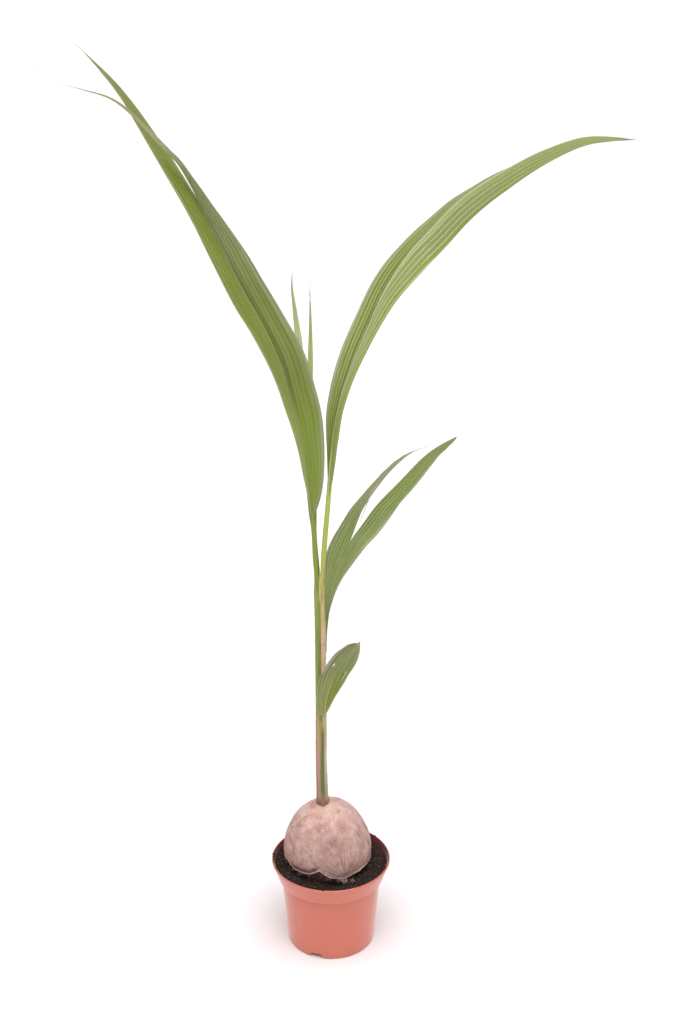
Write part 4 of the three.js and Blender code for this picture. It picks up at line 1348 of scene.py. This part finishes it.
def shell_mesh(name, top, under, kept, flip, s, t, values):
    """A closed thin shell over the kept cells of a grid, with a map of its own: the upper
    face in one half of the map, the lower in the other, and the edges as strips beside them.
    Each of the values is a pair, for the upper face and for the lower."""
    rows, columns = top.shape[:2]
    index = np.arange(rows * columns).reshape(rows, columns)
    below = index.size
    i, j = np.nonzero(kept)
    square = np.stack([index[i, j], index[i + 1, j], index[i + 1, j + 1], index[i, j + 1]], -1)
    faces = [square, square[:, ::-1] + below]
    u, v = (part.ravel() for part in np.meshgrid(0.02 + 0.96 * s, 0.02 + 0.46 * t, indexing="ij"))
    place = np.concatenate([np.stack([u, v], -1), np.stack([u, 1 - v], -1)])
    maps = [place[face] for face in faces]
    padded = np.pad(kept, 1)
    strip = 0.008
    sides = {
        (0, -1): ((1, 0), (0, 0)), (1, 0): ((1, 1), (1, 0)),
        (0, 1): ((0, 1), (1, 1)), (-1, 0): ((0, 0), (0, 1)),
    }
    for (di, dj), ((ai, aj), (bi, bj)) in sides.items():
        i, j = np.nonzero(kept & ~padded[1 + di:rows + di, 1 + dj:columns + dj])
        a, b = index[i + ai, j + aj], index[i + bi, j + bj]
        faces.append(np.stack([a, b, b + below, a + below], -1))
        outside = np.array([di, dj]) * strip
        maps.append(np.stack([place[a], place[b], place[b] + outside, place[a] + outside], 1))
    faces, maps = np.concatenate(faces), np.concatenate(maps)
    if flip:
        faces, maps = faces[:, ::-1], maps[:, ::-1]
    used, faces = np.unique(faces, return_inverse=True)
    points = np.stack([top, under]).reshape(-1, 3)[used]
    values = {key: np.stack(pair).reshape(-1, 3)[used] for key, pair in values.items()}
    return new_mesh(name, points, faces.reshape(-1, 4), values, maps)


def build_midrib(leaf, material):
    """The stalk and midrib: channelled above, keeled below, drawn out to a point."""
    sides, step = 28, 0.0022
    line = Line(rib_line(leaf))
    share = np.linspace(0, 1, int(line.length / step))
    own = Line(spline(leaf["rib"], PER_SPAN)).length
    run = (share * line.length - leaf["sunk"])[:, None]
    part = np.clip(run / own, 0, 1)
    turn = np.linspace(0, 2 * np.pi, sides, endpoint=False)[None]
    foot, tip = leaf["rib_radii"]
    radius = (foot + (tip - foot) * part) * (1 - 0.8 * smooth(run, own - 0.01, own + leaf["tail"]))
    radius = radius * (0.4 + 0.6 * smooth(run, -leaf["sunk"] - 0.001, -0.35 * leaf["sunk"] + 0.001))
    beside = 1 + (leaf["stalk"] - 1) * smooth(part, 0.45, 0.12)
    deep = 1 + (leaf.get("deep", 1) - 1) * smooth(run, 0.0, 0.03) * smooth(part, 0.4, 0.2)
    shape = np.sqrt((beside * np.cos(turn)) ** 2 + (deep * np.sin(turn)) ** 2)
    channel = 0.42 * smooth(np.sin(turn), 0.25, 1.0)
    keel = 0.16 * smooth(-np.sin(turn), 0.6, 1.0)
    reach = radius * (shape - channel + keel)
    place = polar(3.2, turn, part * 9) + 5 * LEAVES.index(leaf) + 9
    reach = reach * (1 + 0.035 * noise(place, 91))
    upper = np.cross(rightwards(leaf), line.along(0.5))
    points, faces = limb(line, share, upper, reach)
    along, above = np.broadcast_arrays(part, np.sin(turn))
    values = {"stalk": polar(radius, turn, run), "share": along, "above": above}
    mesh = new_mesh(f"{leaf['name']}_midrib", points, faces, values)
    add_piece(mesh, material, [f"{leaf['name']}_rib"])


# Colours of each leaf. Places along and across are shares, each from the rib outwards.
# A rib turns from its stalk's colour to its tip's, or to "under" on its lower side:
#   sheathed     (colour, height, height): the sheath's colour, which it loses between them
# A half blade turns from one pair of greens, low, to another, high:
#   band         (colour, share across, strength, along from, along to) beside the rib: painted shade in the fold where dark, a painted reflection where grey
#   veil         (colour, reach in metres, strength) of the margin band, mostly a painted sheen
#   veil_from    where along the blade the veil comes in
#   vein         (colour, strength, reach in pleats) on each pleat's crest, widened with painted highlight
#   flank        how dark each pleat's shaded side is
#   fade         where along the blade the tip's colour comes in
#   turned       (two greys, across, along): painted shade on a rolled margin, and where it starts
LOOKS = {
    "leaf_1": {
        "rib": {
            "stalk": (0.135, 0.155, 0.04), "tip": (0.385, 0.405, 0.135),
            "under": (0.385, 0.405, 0.135), "turn": (0.5, 0.62),
            "sheathed": ((0.3, 0.15, 0.09), 0.256, 0.276),
        },
        "left": {
            "low": ((0.176, 0.235, 0.018), (0.256, 0.322, 0.044)),
            "high": ((0.19, 0.23, 0.06), (0.3, 0.335, 0.12)), "turn": (0.3, 0.6),
            "band": ((0.18, 0.22, 0.055), 0.3, 0.35, 0.0, 0.2),
            "veil": ((0.34, 0.365, 0.165), 0.0035, 0.6), "tip": (0.3, 0.29, 0.14),
            "vein": ((0.38, 0.42, 0.17), 0.32, 0.17), "flank": 0.65,
        },
        "right": {
            "low": ((0.225, 0.255, 0.068), (0.35, 0.375, 0.135)),
            "high": ((0.2, 0.23, 0.07), (0.3, 0.33, 0.13)), "turn": (0.3, 0.6),
            "band": ((0.26, 0.29, 0.1), 0.2, 0.4, 0.0, 0.2),
            "veil": ((0.25, 0.235, 0.15), 0.0065, 0.75), "veil_from": (0.32, 0.5),
            "tip": (0.215, 0.225, 0.1),
            "vein": ((0.4, 0.43, 0.2), 0.35, 0.17), "flank": 0.6,
            "turned": (((0.2, 0.18, 0.135), (0.42, 0.39, 0.32)), 0.78, 0.44),
        },
    },
    "leaf_2": {
        "rib": {
            "stalk": (0.22, 0.26, 0.08), "tip": (0.33, 0.37, 0.14),
            "under": (0.29, 0.33, 0.12), "turn": (0.15, 0.6),
        },
        "left": {
            "low": ((0.285, 0.365, 0.105), (0.42, 0.49, 0.19)),
            "high": ((0.23, 0.3, 0.082), (0.34, 0.395, 0.145)), "turn": (0.2, 0.4),
            "band": ((0.28, 0.32, 0.12), 0.12, 0.5, 0.0, 0.1),
            "veil": ((0.33, 0.325, 0.2), 0.008, 0.8), "tip": (0.33, 0.325, 0.195),
            "fade": (0.45, 0.7),
            "vein": ((0.43, 0.47, 0.24), 0.6, 0.2), "flank": 0.8,
        },
        "right": {
            "low": ((0.185, 0.24, 0.065), (0.27, 0.325, 0.11)),
            "high": ((0.168, 0.232, 0.038), (0.225, 0.29, 0.06)), "turn": (0.4, 0.7),
            "band": ((0.3, 0.34, 0.13), 0.12, 0.5, 0.0, 0.1),
            "veil": ((0.37, 0.38, 0.23), 0.0045, 0.9), "tip": (0.19, 0.24, 0.07),
            "vein": ((0.44, 0.48, 0.24), 0.55, 0.24), "flank": 0.85,
        },
    },
    "leaf_3": {
        "rib": {
            "stalk": (0.225, 0.285, 0.04), "tip": (0.31, 0.345, 0.125),
            "under": (0.26, 0.295, 0.09), "turn": (0.22, 0.5),
        },
        "left": {
            "low": ((0.25, 0.31, 0.062), (0.33, 0.38, 0.105)),
            "high": ((0.165, 0.22, 0.03), (0.222, 0.275, 0.048)), "turn": (0.18, 0.36),
            "band": ((0.275, 0.3, 0.105), 0.24, 0.75, 0.2, 0.32),
            "veil": ((0.35, 0.37, 0.165), 0.0045, 0.7), "tip": (0.24, 0.25, 0.1),
            "vein": ((0.31, 0.35, 0.125), 0.5, 0.15), "flank": 0.42,
        },
        "right": {
            "low": ((0.265, 0.36, 0.048), (0.31, 0.39, 0.075)),
            "high": ((0.175, 0.225, 0.038), (0.255, 0.295, 0.082)), "turn": (0.13, 0.29),
            "band": ((0.112, 0.145, 0.02), 0.32, 0.92, 0.18, 0.3),
            "veil": ((0.365, 0.37, 0.2), 0.011, 0.9), "tip": (0.36, 0.39, 0.2),
            "fade": (0.42, 0.66),
            "vein": ((0.29, 0.32, 0.13), 0.5, 0.15), "flank": 0.42,
        },
    },
    "leaf_4": {
        "rib": {
            "stalk": (0.405, 0.46, 0.08), "tip": (0.56, 0.6, 0.31),
            "under": (0.62, 0.66, 0.37), "turn": (0.14, 0.4),
            "sheathed": ((0.5, 0.46, 0.12), 0.625, 0.68),
        },
        "left": {
            "low": ((0.19, 0.262, 0.018), (0.27, 0.345, 0.042)),
            "high": ((0.265, 0.34, 0.05), (0.38, 0.445, 0.125)), "turn": (0.1, 0.28),
            "band": ((0.2, 0.248, 0.034), 0.38, 0.88, 0.0, 0.1),
            "veil": ((0.53, 0.54, 0.39), 0.0095, 0.88), "veil_from": (0.06, 0.26),
            "tip": (0.295, 0.305, 0.165), "fade": (0.42, 0.75),
            "vein": ((0.55, 0.59, 0.29), 0.95, 0.14), "flank": 0.75,
        },
        "right": {
            "low": ((0.2, 0.265, 0.028), (0.268, 0.332, 0.052)),
            "high": ((0.27, 0.335, 0.085), (0.385, 0.44, 0.17)), "turn": (0.1, 0.28),
            "band": ((0.53, 0.565, 0.3), 0.2, 0.88, 0.1, 0.25),
            "veil": ((0.31, 0.375, 0.07), 0.0105, 0.85), "tip": (0.29, 0.325, 0.118),
            "fade": (0.5, 0.85),
            "vein": ((0.58, 0.62, 0.37), 0.88, 0.19), "flank": 0.75,
        },
    },
    "leaf_5": {
        "rib": {
            "stalk": (0.23, 0.27, 0.07), "tip": (0.45, 0.5, 0.23),
            "under": (0.43, 0.48, 0.21), "turn": (0.3, 0.7),
        },
        "left": {
            "low": ((0.3, 0.36, 0.1), (0.4, 0.46, 0.16)),
            "high": ((0.47, 0.54, 0.21), (0.59, 0.65, 0.32)), "turn": (0.3, 0.6),
            "band": ((0.65, 0.68, 0.45), 0.28, 0.85, 0.3, 0.5),
            "veil": ((0.6, 0.63, 0.42), 0.004, 0.85), "tip": (0.32, 0.33, 0.17),
            "vein": ((0.54, 0.59, 0.33), 0.7, 0.15), "flank": 0.6,
        },
        "right": {
            "low": ((0.3, 0.36, 0.1), (0.4, 0.46, 0.16)),
            "high": ((0.38, 0.45, 0.13), (0.48, 0.55, 0.2)), "turn": (0.3, 0.6),
            "band": ((0.5, 0.54, 0.29), 0.22, 0.8, 0.3, 0.5),
            "veil": ((0.6, 0.62, 0.42), 0.0022, 0.8), "tip": (0.32, 0.33, 0.17),
            "vein": ((0.54, 0.59, 0.33), 0.6, 0.15), "flank": 0.5,
        },
    },
}
# Dry hairs, nearly all at the lobes' tips: points in metres, and radii along them.
HAIR = (0.00032, 0.00028, 0.00016, 0.00006)
HAIRS = {
    "leaf_1": [
        ([(0.0408, -0.0668, 0.5555), (0.0425, -0.0685, 0.556), (0.044, -0.07, 0.5545)], HAIR),
    ],
    "leaf_2": [
        ([(0.1265, 0.0968, 0.7998), (0.139, 0.0985, 0.804), (0.1494, 0.099, 0.8057)],
         (0.0006, 0.0005, 0.0004, 0.0002)),
        ([(0.1925, 0.143, 0.8075), (0.197, 0.145, 0.8115), (0.1998, 0.146, 0.8155)], HAIR),
        ([(0.0771, 0.0445, 0.7778), (0.0683, 0.0435, 0.762), (0.0624, 0.042, 0.7529),
          (0.0521, 0.038, 0.7282), (0.0446, 0.034, 0.709)], (0.0004, 0.0008, 0.0008, 0.0006, 0.0003)),
    ],
    "leaf_3": [
        ([(-0.3105, -0.0768, 1.3865), (-0.3155, -0.079, 1.3905), (-0.324, -0.0805, 1.388),
          (-0.334, -0.082, 1.3829)], HAIR),
    ],
    "leaf_4": [
        ([(0.388, -0.1025, 1.2782), (0.393, -0.1035, 1.2775), (0.4, -0.104, 1.2745)], HAIR),
    ],
    "leaf_5": [
        ([(-0.054, 0.0757, 1.073), (-0.0535, 0.077, 1.076), (-0.0541, 0.078, 1.08)], HAIR),
        ([(-0.0288, 0.0684, 1.042), (-0.0283, 0.0697, 1.06), (-0.0286, 0.0705, 1.068)],
         (0.0005, 0.0005, 0.0003, 0.0001)),
    ],
}


def build_leaves():
    dry = hair_material("dry_hair", (0.46, 0.42, 0.34), (0.6, 0.55, 0.53))
    for leaf in LEAVES:
        name = leaf["name"]
        looks = LOOKS[name]
        build_midrib(leaf, midrib_material(f"{name}_rib_green", looks["rib"]))
        for key in ("left", "right"):
            build_blade(leaf, key, lamina_material(f"{name}_{key}_green", looks[key]))
        strands = [strand(points, radii, 0.001) for points, radii in HAIRS[name]]
        add_strands(f"{name}_hairs", strands, dry)


# ---------------------------------------------------------------- studio

SKY_STRENGTH = 0.455
HORIZON_STRENGTH = 1.0
HORIZON_BAND = (0.088, 0.15)  # sines of the heights between which the horizon's glow fades
KEY_STRENGTH = 2.6
KEY_HEADING = 8  # degrees
KEY_HEIGHT = 73  # degrees
KEY_SOFTNESS = 55  # degrees that the light spans
FLOOR_RADIUS = 400.0
CAMERA_PLACE = (0.0169, -1.9554, 1.4607)
CAMERA_TILT = 20.3  # degrees that it looks down


def build_floor():
    s = Surface("white_floor")
    tone = s.noise(s.place(), 1.5, 2.0)
    white = s.finish(s.blend(tone, (0.93, 0.92, 0.935), (0.945, 0.935, 0.95)), 0.9)
    turn = np.linspace(0, 2 * np.pi, 64, endpoint=False)
    points = polar(FLOOR_RADIUS, turn, 0)
    mesh = bpy.data.meshes.new("floor")
    mesh.from_pydata(points.tolist(), [], [list(range(len(turn)))])
    mesh.materials.append(white)
    floor = bpy.data.objects.new("floor", mesh)
    bpy.context.scene.collection.objects.link(floor)


def build_lights():
    """A pale sky that joins the white floor in a bright band along the horizon, and a soft sun."""
    world = bpy.data.worlds.new("studio")
    world.use_nodes = True
    sky = Nodes(world.node_tree)
    _, _, height = sky.split(sky.node("TexCoord", "Generated", {}))
    background = world.node_tree.nodes["Background"]
    sky.feed(background.inputs["Color"], (1.0, 0.995, 1.0))
    glow = sky.step(height, *HORIZON_BAND, HORIZON_STRENGTH, SKY_STRENGTH)
    sky.feed(background.inputs["Strength"], glow)
    bpy.context.scene.world = world

    light = bpy.data.lights.new("key", "SUN")
    light.energy = KEY_STRENGTH
    light.angle = math.radians(KEY_SOFTNESS)
    light.color = (1.0, 0.985, 0.97)
    sun = bpy.data.objects.new("key", light)
    bpy.context.scene.collection.objects.link(sun)
    sun.rotation_euler = (math.radians(90 - KEY_HEIGHT), 0, math.radians(KEY_HEADING))


def build_camera():
    camera = bpy.data.cameras.new("camera")
    camera.lens = 50
    camera.sensor_width = 36
    view = bpy.data.objects.new("camera", camera)
    bpy.context.scene.collection.objects.link(view)
    view.location = CAMERA_PLACE
    view.rotation_euler = (math.radians(90 - CAMERA_TILT), 0, 0)
    bpy.context.scene.camera = view
    bpy.context.scene.view_settings.view_transform = "Standard"


build_camera()
build_lights()
build_floor()
build_pot()
build_soil()
build_nut()
build_stem()
build_leaves()
